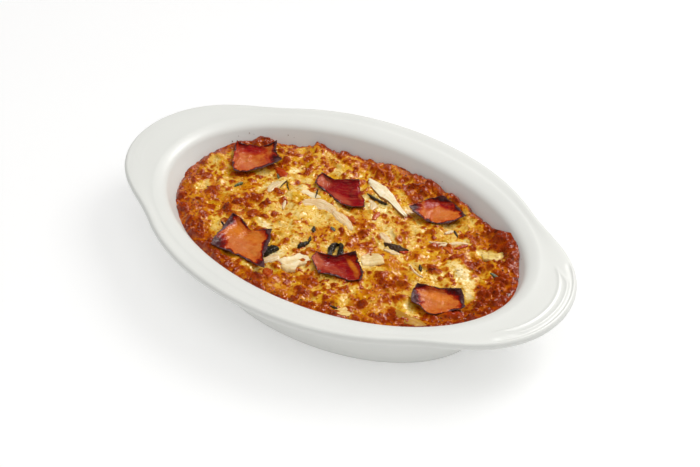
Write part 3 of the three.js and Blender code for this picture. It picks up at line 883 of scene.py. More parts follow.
ham = {
    "thickness": 1.5, "sink": 0.5, "grid": 84, "pressGrid": 150,
    "strands": (4.4, 20),                  # strands of meat along and across a square
    # colours from tan to crimson meat, and from the first scorching to ash
    "meat": [(0.00, (200, 116, 46)), (0.25, (188, 88, 28)), (0.50, (164, 46, 16)), (0.75, (152, 20, 18)),
             (1.00, (130, 10, 22))],
    "scorch": [(0.15, (172, 52, 8)), (0.38, (142, 22, 4)), (0.56, (100, 12, 10)), (0.72, (68, 18, 20)),
               (0.86, (68, 34, 38)), (1.00, (94, 60, 62))],
    "gold": (212, 118, 20), "pinkSheen": (196, 104, 70), "strandSheenColour": (212, 140, 92),
    "gloss": (0.17, 0.36),                 # roughness from the meat to the burnt border
    "gap": 0.3,                            # between a square's middle and the cheese pressed down below it
    "ragged": (0.045, 1.6),                # how far the outline wanders and over what length
    # ripples: height, size and what is added to the square's seed; the last one grows towards the edges
    "ripples": [(0.22, 6, 5), (0.10, 2.6, 7), (0.35, 4, 9)],
    "curl": 2.4,                           # how late towards an edge a square starts to lift off the cheese
    # each square is given by its outline as it is seen on the crust's level: x, y and lift of four corners
    # (far left, far right, near right, near left) and of the points between them along the four edges.
    # char is the width of the burnt border along the far, right, near and left edge, burntCorner its reach
    # round each corner; red is how far the meat has turned from tan to crimson. The spots that change red,
    # pink and gold are x, y, half length, half width, heading, strength; the pink spots paint pinker meat and
    # partly a painted sheen where a flap faces the light. Folds are x, y, x, y, height, width.
    "squares": [
        {"corners": [[-100, 31.5, 5.2], [-80, 45.5, 5.4], [-66.3, 32.3, 4.2], [-83, 7.5, 1.8]],
         "far": [[-96, 30.5, 3.8], [-91.5, 31.5, 2.4], [-88, 33.5, 1.8], [-84.5, 33.5, 1.8], [-82, 38, 3.6]],
         "right": [[-76, 39, 4.6], [-71.5, 34.5, 4]],
         "near": [[-79.5, 8, 1.2], [-75, 10.5, 1.4], [-71, 17, 2.2], [-67.8, 25, 3.2]],
         "left": [[-96, 25.5, 3.8], [-91.5, 18.5, 2.8], [-87, 12, 2]],
         "char": [1.3, 4.4, 1.4, 1.3], "burntCorner": [3.5, 5, 8, 2], "red": 0.16,
         "redSpots": [[-86, 29, 9, 5, 15, 0.7], [-93, 25, 9, 4, -60, 0.3], [-72, 26, 4, 7, 20, 0.3]],
         "pinkSheenSpots": [[-79, 15, 6, 5, 30, 0.5], [-84, 19, 3, 6, 20, 0.3]], "goldSpots": [],
         "folds": [[-90, 27, -76, 20, -0.7, 4], [-86, 18, -84.6, 12, 0.8, 1.5], [-83, 23, -81, 19, 0.7, 1.4]],
         "seed": 201},
        {"corners": [[-40, 36, 3.6], [-18.5, 43, 4.6], [-1, 25, 2.6], [-37.5, 26, 2.2]],
         "far": [[-35, 35.2, 3], [-30, 34.5, 2.6], [-25, 38.5, 3.6]],
         "right": [[-14.5, 38, 4], [-10, 33, 3.2], [-5, 29.5, 2.8]],
         "near": [[-33, 24, 1.8], [-27, 23, 2], [-20, 20.5, 2], [-13, 18.8, 1.8], [-7, 20.5, 1.8]],
         "left": [[-39.5, 31, 3]],
         "char": [1.1, 1.0, 0.9, 1.2], "burntCorner": [3.5, 1.5, 2, 1], "red": 0.92,
         "redSpots": [[-20, 34, 9, 8, -40, 0.3]],
         "pinkSheenSpots": [[-34, 28.5, 6.5, 4.5, -20, 0.95], [-16, 22, 9, 2, -8, 0.45]],
         "goldSpots": [[-8, 30, 3, 1.4, -50, 0.35]],
         "folds": [[-18.5, 43, -13, 29, 1.1, 2.2], [-31, 34, -27, 24, -0.9, 2.6],
                   [-39, 34, -32, 27, 0.5, 1.6]],
         "seed": 202},
        {"corners": [[18.5, 39.5, 3.6], [28.5, 59, 4.2], [48.5, 51.5, 3.4], [34, 34.4, 1.4]],
         "far": [[20.5, 45, 3.2], [23.5, 52, 3.6]], "right": [[36, 57, 3], [43, 54.5, 2.8]],
         "near": [[40.5, 36.3, 1.4], [44.5, 40.5, 2], [47, 46, 2.6]],
         "left": [[22, 37.6, 2.6], [28, 36.2, 1.6]],
         "char": [3.6, 4.5, 1.6, 1.8], "burntCorner": [8, 9, 4, 2.5], "red": 0.12,
         "redSpots": [[27, 48, 4, 6, 20, 0.6], [33, 53, 9, 4, -15, 0.8]],
         "pinkSheenSpots": [[32, 40, 4, 3, 0, 0.5], [38, 44, 5, 5, 0, 0.3]], "goldSpots": [[41, 46, 4, 5, 0, 0.3]],
         "folds": [[24, 44, 42, 40, 0.6, 4], [29.6, 41, 31, 38, 0.7, 1.3], [40, 41, 45, 48, 0.5, 1.4]],
         "seed": 203},
        {"corners": [[-57.5, -23.5, 5.2], [-31, -21.5, 4.4], [-14, -49.5, 3.4], [-50, -51, 3.6]],
         "far": [[-52, -23.5, 3.8], [-47, -25.5, 3], [-43, -28, 2.4], [-40, -29.5, 2.2], [-37.5, -28.3, 2.6],
                 [-34.5, -24, 3.6]],
         "right": [[-29, -25.5, 3.6], [-26, -29, 3.2], [-24, -34, 2.6], [-20.5, -41.5, 2.8]],
         "near": [[-44, -51, 2.4], [-38, -50.4, 1.8], [-30, -50, 1.6], [-21, -50.6, 2.2]],
         "left": [[-56, -29, 4], [-53.8, -37, 3], [-53, -44, 3]],
         "char": [2.8, 3.4, 1.6, 3.8], "burntCorner": [6, 4, 7, 10], "red": 0.08,
         "redSpots": [[-48, -28, 9, 3, -10, 0.35], [-30, -27, 5, 4, -40, 0.3]],
         "pinkSheenSpots": [[-38, -44, 10, 6, 0, 0.45]],
         "goldSpots": [[-46, -34, 6, 8, 20, 0.7], [-33, -33, 6, 5, 0, 0.4]],
         "folds": [[-40, -28, -38, -36, -0.6, 3]], "seed": 204},
        {"corners": [[0, -22.5, 4.2], [17.2, -9.5, 5.4], [33.5, -27, 2.8], [11.5, -36, 3.4]],
         "far": [[5, -21.6, 3.6], [10, -19.5, 3.4], [14, -14.5, 4.2]],
         "right": [[21.5, -13.5, 4.4], [26.5, -18, 3.6], [31, -21, 3]],
         "near": [[17, -33.6, 2.4], [23, -32.2, 2], [29, -31.5, 2]],
         "left": [[1, -28, 3.6], [6, -31.8, 3.2]],
         "char": [1.2, 3.2, 1.0, 0.7], "burntCorner": [1.5, 9, 2.5, 2.5], "red": 0.86,
         "redSpots": [[12, -19, 8, 4, 25, 0.3]],
         "pinkSheenSpots": [[6, -28.5, 7, 3, -40, 0.85], [16, -30, 9, 3, 0, 0.35]],
         "goldSpots": [[24, -21.5, 7, 1.6, -30, 0.95], [29, -25, 4, 1.6, -50, 0.4]],
         "folds": [[8, -24, 26, -27, -0.8, 4], [1, -25, 11, -34, 0.6, 2.2]], "seed": 205},
        {"corners": [[59, -11.5, 5.4], [80, -1.5, 4.8], [90, -12.5, 3.8], [64.5, -25, 4]],
         "far": [[65, -9.3, 4], [71, -8, 3], [75.5, -4.2, 3.6]], "right": [[84, -5, 4], [87.5, -9.5, 3.4]],
         "near": [[70, -25.6, 2], [76.5, -28, 1.2], [80.5, -26.3, 1.2], [85.5, -19.5, 2]],
         "left": [[59.8, -17, 4.2], [61.8, -21.5, 3.8]],
         "char": [3.4, 4, 1.1, 5], "burntCorner": [8, 10, 5, 6], "red": 0.06,
         "redSpots": [[71, -12.5, 8, 2.6, 10, 0.5]],
         "pinkSheenSpots": [[72, -22.5, 6, 4, 0, 0.5]], "goldSpots": [[74, -14.5, 8, 4, 10, 0.75]],
         "folds": [[66, -18, 86, -15, 0.4, 3]], "seed": 206},
    ],
}


def fromSight(x, y, z):
    # where a point that is seen at x, y on the crust's level lies when it stands at height z
    away = (z - crust["level"]) / (camera["place"][2] - crust["level"])
    return x + away * (camera["place"][0] - x), y + away * (camera["place"][1] - y)


def outlineEdge(first, between, last, share):
    # places at even shares along an edge
    points = np.array([first, *between, last], float)
    steps = np.hypot(*np.diff(points[:, :2], axis=0).T)
    at = np.concatenate([[0], np.cumsum(steps)]) / steps.sum()
    return np.stack([np.interp(share, at, points[:, i]) for i in range(3)], -1)


def hamPatch(square, u, v):
    # a sheet between the four edges: u runs from the left edge to the right one, v from the far to the near
    farLeft, farRight, nearRight, nearLeft = np.array(square["corners"], float)
    far = outlineEdge(farLeft, square["far"], farRight, u)
    near = outlineEdge(nearLeft, square["near"], nearRight, u)
    left = outlineEdge(farLeft, square["left"], nearLeft, v)
    right = outlineEdge(farRight, square["right"], nearRight, v)
    u, v = u[..., None], v[..., None]
    flat = (1 - u) * (1 - v) * farLeft + u * (1 - v) * farRight + u * v * nearRight + (1 - u) * v * nearLeft
    return (1 - v) * far + v * near + (1 - u) * left + u * right - flat


def hamLevel(square):
    x, y, lift = np.mean(square["corners"], axis=0)
    x, y = fromSight(x, y, crust["level"] + lift / 2)
    return plainCrust(x, y) - ham["sink"]


def hamSurface(square, u, v):
    # the seen places and the true places of a square with its ragged edge, curl, folds and ripples
    seed = square["seed"]
    fromMiddle = np.maximum(np.abs(u - 0.5), np.abs(v - 0.5)) * 2
    turn = np.arctan2(v - 0.5, u - 0.5) * 14
    amount, size = ham["ragged"]
    ragged = 1 + amount * roughNoise(turn, turn * 0 + seed, size, seed) * fromMiddle ** 8
    sheet = hamPatch(square, 0.5 + (u - 0.5) * ragged, 0.5 + (v - 0.5) * ragged)
    seenX, seenY, lift = sheet[..., 0], sheet[..., 1], sheet[..., 2]
    lift = lift * fromMiddle ** ham["curl"]
    for x0, y0, x1, y1, height, width in square["folds"]:
        run = (x1 - x0) ** 2 + (y1 - y0) ** 2
        along = np.clip(((seenX - x0) * (x1 - x0) + (seenY - y0) * (y1 - y0)) / run, 0, 1)
        away = np.hypot(seenX - x0 - along * (x1 - x0), seenY - y0 - along * (y1 - y0))
        lift = lift + height * np.exp(-(away / width) ** 2)
    for (height, size, more), growth in zip(ham["ripples"], (1, 1, fromMiddle ** 3)):
        lift = lift + height * growth * roughNoise(seenX, seenY, size, seed + more)
    x, y = fromSight(seenX, seenY, hamLevel(square) + lift)
    return seenX, seenY, x, y, lift


def pressDown(ceiling, x, y, z):
    # the cheese may not stand higher than z at x, y
    column = np.round((x + crust["halfLength"]) / crust["cell"]).astype(int)
    row = np.round((y + crust["halfWidth"]) / crust["cell"]).astype(int)
    np.minimum.at(ceiling, (row, column), z)


def hamCeiling(ceiling):
    shares = np.linspace(0, 1, ham["pressGrid"])
    u, v = np.meshgrid(shares, shares)
    for square in ham["squares"]:
        _, _, x, y, lift = hamSurface(square, u, v)
        pressDown(ceiling, x, y, hamLevel(square) + lift - ham["gap"])


def hamFinish():
    finish, tree, shader = newFinish("bakedHam")
    place = objectPlace(tree)
    strands = grain(tree, grainWay(tree), 1 / mm, 4, 0.6, 0.6)
    blotch = grain(tree, place, 3.0, 3)
    red = math2(tree, "ADD", field(tree, "red"), span(tree, blotch, *noiseSpan, -0.18, 0.18), True)
    meat = colourRamp(tree, red, ham["meat"])
    meat = blendColours(tree, field(tree, "gold"), meat, ham["gold"])
    # pinker meat, and partly a painted sheen where a flap or fold faces the light
    meat = blendColours(tree, field(tree, "pinkSheen"), meat, ham["pinkSheen"])
    # lighter strands: the meat's fibre, with a painted highlight along it
    meat = blendColours(tree, span(tree, strands, 0.5, 0.8, 0.0, 0.3), meat, ham["strandSheenColour"])
    fringe = grain(tree, place, 0.9, 3)
    burnt = math2(tree, "ADD", field(tree, "char"), span(tree, fringe, *noiseSpan, -0.14, 0.14), True)
    scorch = colourRamp(tree, burnt, ham["scorch"])
    colour = blendColours(tree, span(tree, burnt, 0.06, 0.28), meat, scorch)
    paint(tree, shader, colour, span(tree, burnt, 0.2, 0.9, *ham["gloss"]))
    shader.inputs["IOR"].default_value = 1.45
    letLightIn(shader, 0.08, (1.0, 0.3, 0.15), 1.0)
    relief = math2(tree, "ADD", strands, math2(tree, "MULTIPLY", fringe, 0.8))
    addBump(tree, shader, relief, 0.4, 0.7)
    return finish


def burntShare(square, u, v, seenX, seenY):
    # 1 where a square is burnt through, falling to 0 inside its border
    seed = square["seed"]
    sheet = np.stack([seenX, seenY], -1)
    wide = np.linalg.norm(sheet[:, -1] - sheet[:, 0], axis=-1)[:, None]
    deep = np.linalg.norm(sheet[-1] - sheet[0], axis=-1)[None]
    wobble = 0.9 * roughNoise(seenX, seenY, 3.2, seed + 11)
    burnt = np.zeros_like(u)
    for width, away in zip(square["char"], (v * deep, (1 - u) * wide, (1 - v) * deep, u * wide)):
        border = width * (0.66 + 0.54 * softNoise(seenX, seenY, 4.5, seed + 13))
        burnt = np.maximum(burnt, 1.25 - (away + wobble * min(1, width / 2.5)) / border)
    for reach, (cornerX, cornerY, _) in zip(square["burntCorner"], square["corners"]):
        away = np.hypot(seenX - cornerX, seenY - cornerY) + 1.5 * wobble
        burnt = np.maximum(burnt, 1.35 - 1.25 * away / reach)
    return np.clip(burnt, 0, 1)


def buildHam():
    finish = hamFinish()
    shares = np.linspace(0, 1, ham["grid"])
    shares = shares - 0.05 * np.sin(math.tau * shares)      # closer steps near the edges
    u, v = np.meshgrid(shares, shares)
    edge = np.minimum(np.minimum(u, 1 - u), np.minimum(v, 1 - v))
    thick = ham["thickness"] * (0.3 + 0.7 * smooth(edge, 0, 0.07))
    for number, square in enumerate(ham["squares"], 1):
        seenX, seenY, x, y, lift = hamSurface(square, u, v)
        middle = hamLevel(square) + lift + ham["thickness"] / 2
        top = np.stack([x, y, middle + thick / 2], -1)
        under = np.stack([x, y, middle - thick / 2], -1)
        seed = square["seed"]
        red, pinkSheen, gold = (spotMap(seenX, seenY, square[kind + "Spots"]) for kind in ("red", "pinkSheen", "gold"))
        red = square["red"] + red + 0.14 * (1 - smooth(edge, 0.03, 0.2))    # redder towards the edges
        red = red + 0.08 * roughNoise(x, y, 6, seed + 17)
        fields = {
            "char": burntShare(square, u, v, seenX, seenY),
            "red": np.clip(red, 0, 1),
            "pinkSheen": pinkSheen * (0.8 + 0.3 * softNoise(x, y, 3, seed + 19)),
            "gold": gold * (0.8 + 0.3 * softNoise(x, y, 3, seed + 21)),
        }
        flow = np.stack([u * ham["strands"][0], v * ham["strands"][1], np.full_like(u, seed)], -1)
        piece = slabPiece(f"hamSquare{number}", [(top, under, fields, flow)], finish)
        settle(piece, "ham", f"ham_{number}")
    print("ham:", len(ham["squares"]), "squares")


# Flat bits. A run is a line of x, y and width as it is seen on the crust's level. A bit with an outline of
# its own has corners and edges instead, given as for the ham squares. Rise is how far the top stands above
# the crust, lean how far the far side is higher, curl how far both sides turn up and arch how far the middle
# of the run bows up. Tone runs between a kind's two colourings, 0 to 1, skin is the share of the width on
# the near side that is brown and cover the share of the border that the cheese runs over.
bitKinds = ("mushroom", "onion", "pasta", "leaf", "herb", "tomato")
bits = {
    "sink": 1.0, "grid": (60, 18), "pressGrid": (170, 44),
    "gap": 0.4,                            # between a bit's top and the cheese pressed down below it
    "cover": 0.12,                         # where a bit has none of its own
    "ends": 0.96,                          # below 1 the rows of points crowd less at the ends
    "wander": 0.26, "ragged": 0.09, "rough": 0.12,   # uneven width, outline and top
    "mushroom": {
        "pieces": [
            {"corners": [[-16.8, 49.6, 0.3], [20.5, 35, 0.2], [20, 32.2, -0.4], [-10.6, 42.7, -0.8]],
             "far": [[-9.3, 48.4, 0.4], [-3.2, 47.6, 0.5], [3.5, 45.1, 0.3], [9, 41.1, 0], [16.9, 36.3, 0.2]],
             "right": [[21.1, 33.5, 0]],
             "near": [[-5.8, 40.5, -0.9], [-0.1, 38.4, -1], [4.7, 37.4, -0.9], [13, 34.5, -0.6]],
             "left": [[-14.2, 45.9, -0.2]], "rise": 2.0, "tone": 0.12, "skin": 0.16, "cover": 0.04},
            {"corners": [[21, -9.1, 0.6], [28, -3, 0.7], [34.8, -6.7, 0], [26.8, -16.1, 0.1]],
             "far": [[23.9, -5.6, 0.2]], "right": [[31.4, -4, 0.5]],
             "near": [[30.4, -13.8, -0.2], [33.1, -10.2, 0.2]], "left": [[23.1, -13.2, 0.3]],
             "rise": 0.7, "tone": 0.7, "cover": 0.3},
            {"corners": [[-12.4, -35, 0.5], [-5.5, -24, -1.0], [0.4, -33.6, 0.8], [-8.8, -42, 0.2]],
             "far": [[-9.8, -31, -0.3], [-8.4, -26.5, -0.9]],
             "right": [[-0.5, -26.8, -0.6], [1.6, -30.2, 0.4]],
             "near": [[-4.2, -43.8, 0], [0.6, -42, 1.0], [-1.6, -37.4, 0.1]],
             "left": [[-14.6, -38, -0.4], [-10.2, -39.6, 0.4]],
             "rise": 1.7, "tone": 0.45, "cover": 0.45},
            {"run": [[34.6, -58.4, 4], [38, -55.4, 8], [42, -51.8, 8], [45.4, -48.6, 4]],
             "rise": 0.5, "lean": 0.3, "tone": 1.0, "cover": 0.5},
            {"run": [[-42.4, 15.2, 3], [-37, 15.9, 5.4], [-31, 16.8, 4.6], [-26, 18.6, 1.4]],
             "rise": 0.8, "lean": 0.2, "tone": 0.45, "cover": 0.4},
        ],
        "fair": [(236, 218, 172), (246, 236, 206), (250, 244, 226)],
        "dull": [(196, 148, 58), (214, 176, 92), (226, 198, 124)],
        "skinColour": (150, 100, 36), "edge": (214, 168, 92), "stain": (210, 164, 84), "stainShare": 0.5,
        "streak": (7, 1.2), "spot": 2.4, "gloss": (0.28, 0.44), "glow": 0.12, "bump": 0.3,
    },
    "onion": {
        "pieces": [
            {"run": [[-34.4, 8.8, 5.4], [-29.3, 11.6, 7.4], [-24, 13.4, 7.8], [-18.4, 13.4, 6.6],
                     [-13, 12.2, 4]],
             "rise": 1.2, "lean": 0.9, "tone": 0.1, "cover": 0.2},
            {"run": [[-14.4, 12.2, 3.4], [-7.6, 10.2, 5.4], [-1.6, 7.8, 5.2], [4, 4.8, 2.4]],
             "rise": 1.0, "lean": 0.7, "tone": 0.3, "cover": 0.2},
            {"run": [[-18.8, -45.4, 3], [-16.8, -40.6, 5.4], [-14.6, -36, 4]],
             "rise": 1.0, "lean": 0.2, "tone": 0.5, "cover": 0.35},
            {"run": [[50, 21.2, 1.2], [53.6, 25.6, 2.6], [58, 30, 2.8], [62.6, 32.8, 1.2]],
             "rise": 1.0, "lean": 0.0, "tone": 0.6},
            {"run": [[17.8, 12.6, 2], [22, 10.6, 4.8], [27.8, 7.6, 3.2]],
             "rise": 1.0, "lean": 0.2, "tone": 0.2},
            {"run": [[-52.8, 18, 2], [-55.2, 12, 5.6], [-54.4, 4.6, 3]],
             "rise": 0.9, "lean": 0.2, "tone": 0.8, "cover": 0.35},
        ],
        "fair": [(206, 166, 108), (228, 198, 150), (242, 222, 190)],
        "dull": [(206, 172, 116), (220, 196, 152), (230, 214, 182)],
        "skinColour": (190, 140, 80), "edge": (192, 134, 66), "stain": (194, 132, 60), "stainShare": 0.5,
        "streak": (9, 0.8), "spot": 2.4, "gloss": (0.2, 0.32), "glow": 0.2, "bump": 0.15,
    },
    "pasta": {
        "pieces": [
            {"corners": [[72.2, 30.1, 0], [80, 40, -0.2], [84.5, 35.4, 0.6], [76.7, 26.1, 0.2]],
             "far": [[74.6, 33.4, -0.2], [79, 35.5, 0.4]], "right": [[82.4, 38.4, 0.3]],
             "near": [[80.6, 26.9, 0.5], [84.1, 27.8, 0.6], [83.8, 31.8, 0.1]], "left": [[74.2, 28, 0]],
             "rise": 1.3, "tone": 0.0, "cover": 0.1},
            {"run": [[60, -36, 2.6], [67, -36.8, 6], [76, -37, 6], [84, -36.2, 2]],
             "rise": 0.8, "lean": 0.3, "tone": 1.0, "cover": 0.85},
        ],
        "fair": [(206, 160, 66), (222, 190, 104), (234, 212, 146)],
        "dull": [(158, 102, 14), (178, 126, 28), (194, 146, 50)],
        "skinColour": (100, 50, 8), "edge": (140, 72, 12), "stain": (156, 88, 18), "stainShare": 0.6,
        "streak": (10, 1.0), "spot": 2.4, "gloss": (0.28, 0.42), "glow": 0.1, "bump": 0.2,
    },
    "leaf": {
        "pieces": [
            {"run": [[24.4, 6.2, 0.8], [29, 6.2, 4.6], [34, 6.8, 5.2], [39.2, 9.4, 0.6]],
             "rise": 1.4, "lean": 0.5, "tone": 1.0},
            {"run": [[6.8, -20.6, 2.6], [4.6, -15, 3.4], [3.6, -11, 3], [4.8, -8, 1.6]],
             "rise": 2.4, "arch": 0.8, "curl": 0.5, "tone": 0.15},
            {"run": [[4.8, -8, 1.6], [7.8, -9.8, 2.8], [9.8, -13.2, 3.2], [11.6, -17.2, 2.8]],
             "rise": 2.2, "arch": 0.8, "curl": 0.5, "tone": 0.0},
            {"run": [[-10.8, -24.6, 2], [-10.4, -21, 3.8], [-8.8, -16.8, 1.6]],
             "rise": 1.6, "arch": 0.5, "curl": 0.4, "tone": 0.1},
            {"run": [[-22, -39.6, 2.4], [-22.3, -35.6, 4.4], [-21.2, -32.4, 3.6], [-18.6, -31.2, 1.6]],
             "rise": 2.2, "arch": 0.6, "curl": 0.6, "tone": 0.0},
            {"run": [[-8.6, 36.6, 1], [-3.4, 35.9, 2.8], [1.6, 35.4, 3], [6.6, 35.4, 1]],
             "rise": 1.6, "lean": -0.6, "curl": 0.3, "tone": 0.3},
        ],
        "fair": [(20, 16, 10), (34, 28, 20), (58, 52, 40)],
        "dull": [(46, 26, 12), (64, 40, 22), (88, 60, 34)],
        "skinColour": (30, 18, 10), "edge": (26, 16, 10), "stain": (78, 56, 30), "stainShare": 0.35,
        "streak": (6, 0.6), "spot": 1.6, "gloss": (0.14, 0.34), "glow": 0.0, "bump": 0.45,
    },
    "herb": {
        "pieces": [], "slot": "leaf",
        "fair": [(70, 80, 44), (104, 116, 74), (150, 156, 112)],
        "dull": [(60, 60, 44), (92, 98, 84), (140, 146, 130)],
        "skinColour": (40, 44, 24), "edge": (60, 62, 36), "stain": (60, 54, 26), "stainShare": 0.4,
        "streak": (6, 0.6), "spot": 1.6, "gloss": (0.2, 0.34), "glow": 0.1, "bump": 0.3,
    },
    "tomato": {
        "pieces": [
            {"run": [[-65.6, 23.6, 2], [-61.4, 24.2, 6.2], [-57.4, 22.4, 6], [-54.4, 20.8, 2]],
             "rise": 1.2, "tone": 0.2},
            {"run": [[7, 27.2, 1.6], [7.4, 24, 4.6], [8.6, 19.4, 3.2]], "rise": 1.2, "tone": 0.8},
            {"run": [[-14.6, -48.4, 2.6], [-11.4, -50.2, 6.6], [-7.8, -51.2, 3]], "rise": 1.4, "tone": 0.5},
        ],
        "fair": [(142, 26, 6), (168, 44, 10), (190, 72, 22)],
        "dull": [(164, 62, 10), (186, 86, 22), (204, 118, 44)],
        "skinColour": (120, 26, 6), "edge": (156, 62, 12), "stain": (120, 22, 6), "stainShare": 0.5,
        "streak": (5, 1.6), "spot": 2.0, "gloss": (0.18, 0.32), "glow": 0.1, "bump": 0.25,
    },
}

# Shreds too small to be pieces of their own, joined into one mesh for each kind: rise, tone and the run.
shreds = {
    "onion": [
        [1.0, 0.9, [-42.4, 4.8, 1.2], [-40.2, 1, 2.2], [-37.8, -3, 1]],
        [0.9, 0.7, [44, 21.4, 1], [48, 23.4, 2], [53, 26.4, 1]],
        [1.0, 1.0, [46.6, 33, 1.6], [48.4, 35, 3], [50, 37.4, 1.6]],
        [0.9, 0.4, [28, 1.6, 1], [33, 2.6, 3], [38, 2.8, 1.4]],
        [0.9, 0.9, [-4.4, 32.4, 1.6], [1, 29.6, 4.4], [2.4, 25, 2]],
        [0.8, 0.3, [47, -0.6, 0.8], [52, -3.6, 1.6], [58, -4.6, 0.8]],
    ],
    "tomato": [
        [1.0, 0.1, [35.8, 5, 1], [38.2, 6.2, 2.8], [40, 8.2, 1]],
        [1.0, 0.0, [58.6, 24.6, 1.4], [61, 28.6, 2.4], [62.8, 32, 1]],
        [1.0, 0.8, [-3.4, 15.4, 1.4], [-1.6, 12.8, 3.4], [1.6, 11.4, 1.4]],
        [0.9, 0.6, [-42, 22.8, 1], [-39.4, 22.2, 2.4], [-37, 21, 1]],
        [1.0, 0.9, [53, 22, 2], [56, 22.6, 4.4], [59.4, 20, 2]],
    ],
    "leaf": [
        [1.3, 0.5, [49.6, 38, 0.8], [51.8, 36.4, 2], [54.4, 34.4, 0.8]],
        [1.5, 0.2, [-59.4, -31.4, 0.8], [-57.4, -32.2, 1.6], [-55, -33, 0.8]],
        [1.3, 0.2, [-14.8, -5, 0.8], [-13.2, -7, 2.6], [-12.4, -9, 1]],
        [1.2, 0.7, [-11.4, -12.6, 1], [-9.6, -15.6, 1.8], [-8.8, -17.4, 0.8]],
        [1.2, 0.7, [51, 2.4, 0.8], [52.6, 0.8, 2], [54, -0.8, 0.8]],
        [1.6, 0.9, [-33.4, 23.4, 0.5], [-31.8, 20.4, 1.1], [-30.2, 16.8, 0.5]],
        [1.4, 0.9, [-52.4, 19.6, 0.5], [-52, 15.5, 1.1], [-51.2, 11.2, 0.5]],
        [1.4, 0.9, [-51.8, 18.6, 0.5], [-48.8, 15.2, 1.0], [-45.6, 12.2, 0.5]],
        [1.2, 0.6, [30, -52.8, 0.8], [33, -51.6, 2], [36, -51.4, 0.8]],
    ],
    "herb": [
        [1.2, 0.2, [-73.6, -2.6, 0.8], [-72.8, 0, 2], [-71.6, 3, 0.8]],
        [1.1, 1.0, [-6.8, 0.2, 0.8], [-4.8, -0.6, 2.4], [-2.8, -1.2, 0.8]],
        [1.0, 0.8, [84.6, 19.6, 0.8], [88, 19.4, 2.2], [91, 18.4, 0.8]],
        [1.2, 0.6, [-60.6, 20.4, 0.6], [-59, 19.4, 1.4], [-57.6, 18, 0.6]],
    ],
}


def shredBits(kind):
    return [{"run": run, "rise": rise, "tone": tone} for rise, tone, *run in shreds.get(kind, [])]


def bitSheet(bit, alongCount, acrossCount):
    # places of top and underside of one bit, with how far along and across it each point lies
    line = np.array(bit.get("run", bit.get("corners")), float)
    seed = 300 + int(abs(7 * line[0, 0]) + abs(line[0, 1]))
    end = math.pi / 2 * bits["ends"]
    s, t = np.meshgrid(np.sin(np.linspace(-1, 1, alongCount) * end) / math.sin(end),
                       np.linspace(-1, 1, acrossCount))
    lift = 0
    if "corners" in bit:
        ragged = 1 + bits["ragged"] * roughNoise(s * 5 + t, t * 5 - s, 1.6, seed)
        sheet = hamPatch(bit, 0.5 + 0.5 * s * ragged, 0.5 - 0.5 * t * ragged)
        seenX, seenY, lift = sheet[..., 0], sheet[..., 1], sheet[..., 2]
    else:
        steps = np.hypot(*np.diff(line[:, :2], axis=0).T)
        at = np.concatenate([[0], np.cumsum(steps)]) / steps.sum() * 2 - 1
        degree = min(3, len(line) - 1)
        curveX, curveY = np.polyfit(at, line[:, 0], degree), np.polyfit(at, line[:, 1], degree)
        slopeX, slopeY = np.polyval(np.polyder(curveX), s), np.polyval(np.polyder(curveY), s)
        run = np.hypot(slopeX, slopeY)
        half = np.interp(s, at, line[:, 2]) / 2 * np.sqrt(np.clip(1 - np.abs(s) ** 10, 0.002, 1))
        half = half * (1 + bits["wander"] * softNoise(s * 5 + 3 * np.sign(t), t * 0 + seed, 1.0, seed))
        seenX = np.polyval(curveX, s) - slopeY / run * t * half
        seenY = np.polyval(curveY, s) + slopeX / run * t * half
    x, y = fromSight(seenX, seenY, plainCrust(seenX, seenY) + bit["rise"])
    ground = mixUp(plainCrust(np.mean(x), np.mean(y)), plainCrust(x, y), 0.6)
    flat = 9 if "corners" in bit else 3
    dome = np.clip(1 - np.abs(t) ** flat, 0, 1) ** 0.5 * np.clip(1 - np.abs(s) ** 8, 0, 1) ** 0.5
    top = ground + bit["rise"] * (0.2 + 0.8 * dome) + bit.get("lean", 0) * t + lift
    top = top + bit.get("curl", 0) * t * t + bit.get("arch", 0) * (0.5 - s * s)
    top = top + bits["rough"] * roughNoise(x, y, 2.2, seed + 3)
    under = np.minimum(ground - bits["sink"] * (0.3 + 0.7 * dome), top - 0.3)
    return x, y, top, under, s, t


def bitCeiling(ceiling):
    for kind in bitKinds:
        for bit in bits[kind]["pieces"] + shredBits(kind):
            x, y, top, _, s, t = bitSheet(bit, *bits["pressGrid"])
            # cheese runs over the border, here more and there less
            melted = bit.get("cover", bits["cover"]) * (1 + 1.2 * roughNoise(x, y, 3.4, 341))
            inside = (np.abs(t) < 1 - melted) & (np.abs(s) < 1 - melted * 0.7)
            pressDown(ceiling, x[inside], y[inside], top[inside] - bits["gap"])


def bitSlab(bit):
    x, y, top, under, s, t = bitSheet(bit, *bits["grid"])
    skin = bit.get("skin", 0)
    fields = {
        "side": np.abs(t),
        "tone": np.full_like(t, bit["tone"]),
        "skin": 1 - smooth((t + 1) / 2, skin - 0.04, skin + 0.04) if skin else np.zeros_like(t),
    }
    length = np.hypot(x[0, -1] - x[0, 0], y[0, -1] - y[0, 0])
    flow = np.stack([s * length / 2, t * 3, np.full_like(t, x[0, 0])], -1)
    return np.stack([x, y, top], -1), np.stack([x, y, under], -1), fields, flow


def streaks(tree, length, width):
    # noise drawn out along a bit
    stretch = addNode(tree, "ShaderNodeVectorMath", operation="MULTIPLY")
    plug(tree, stretch.inputs[0], grainWay(tree))
    stretch.inputs[1].default_value = (mm / length, mm / width, mm)
    return grain(tree, stretch.outputs[0], 1)


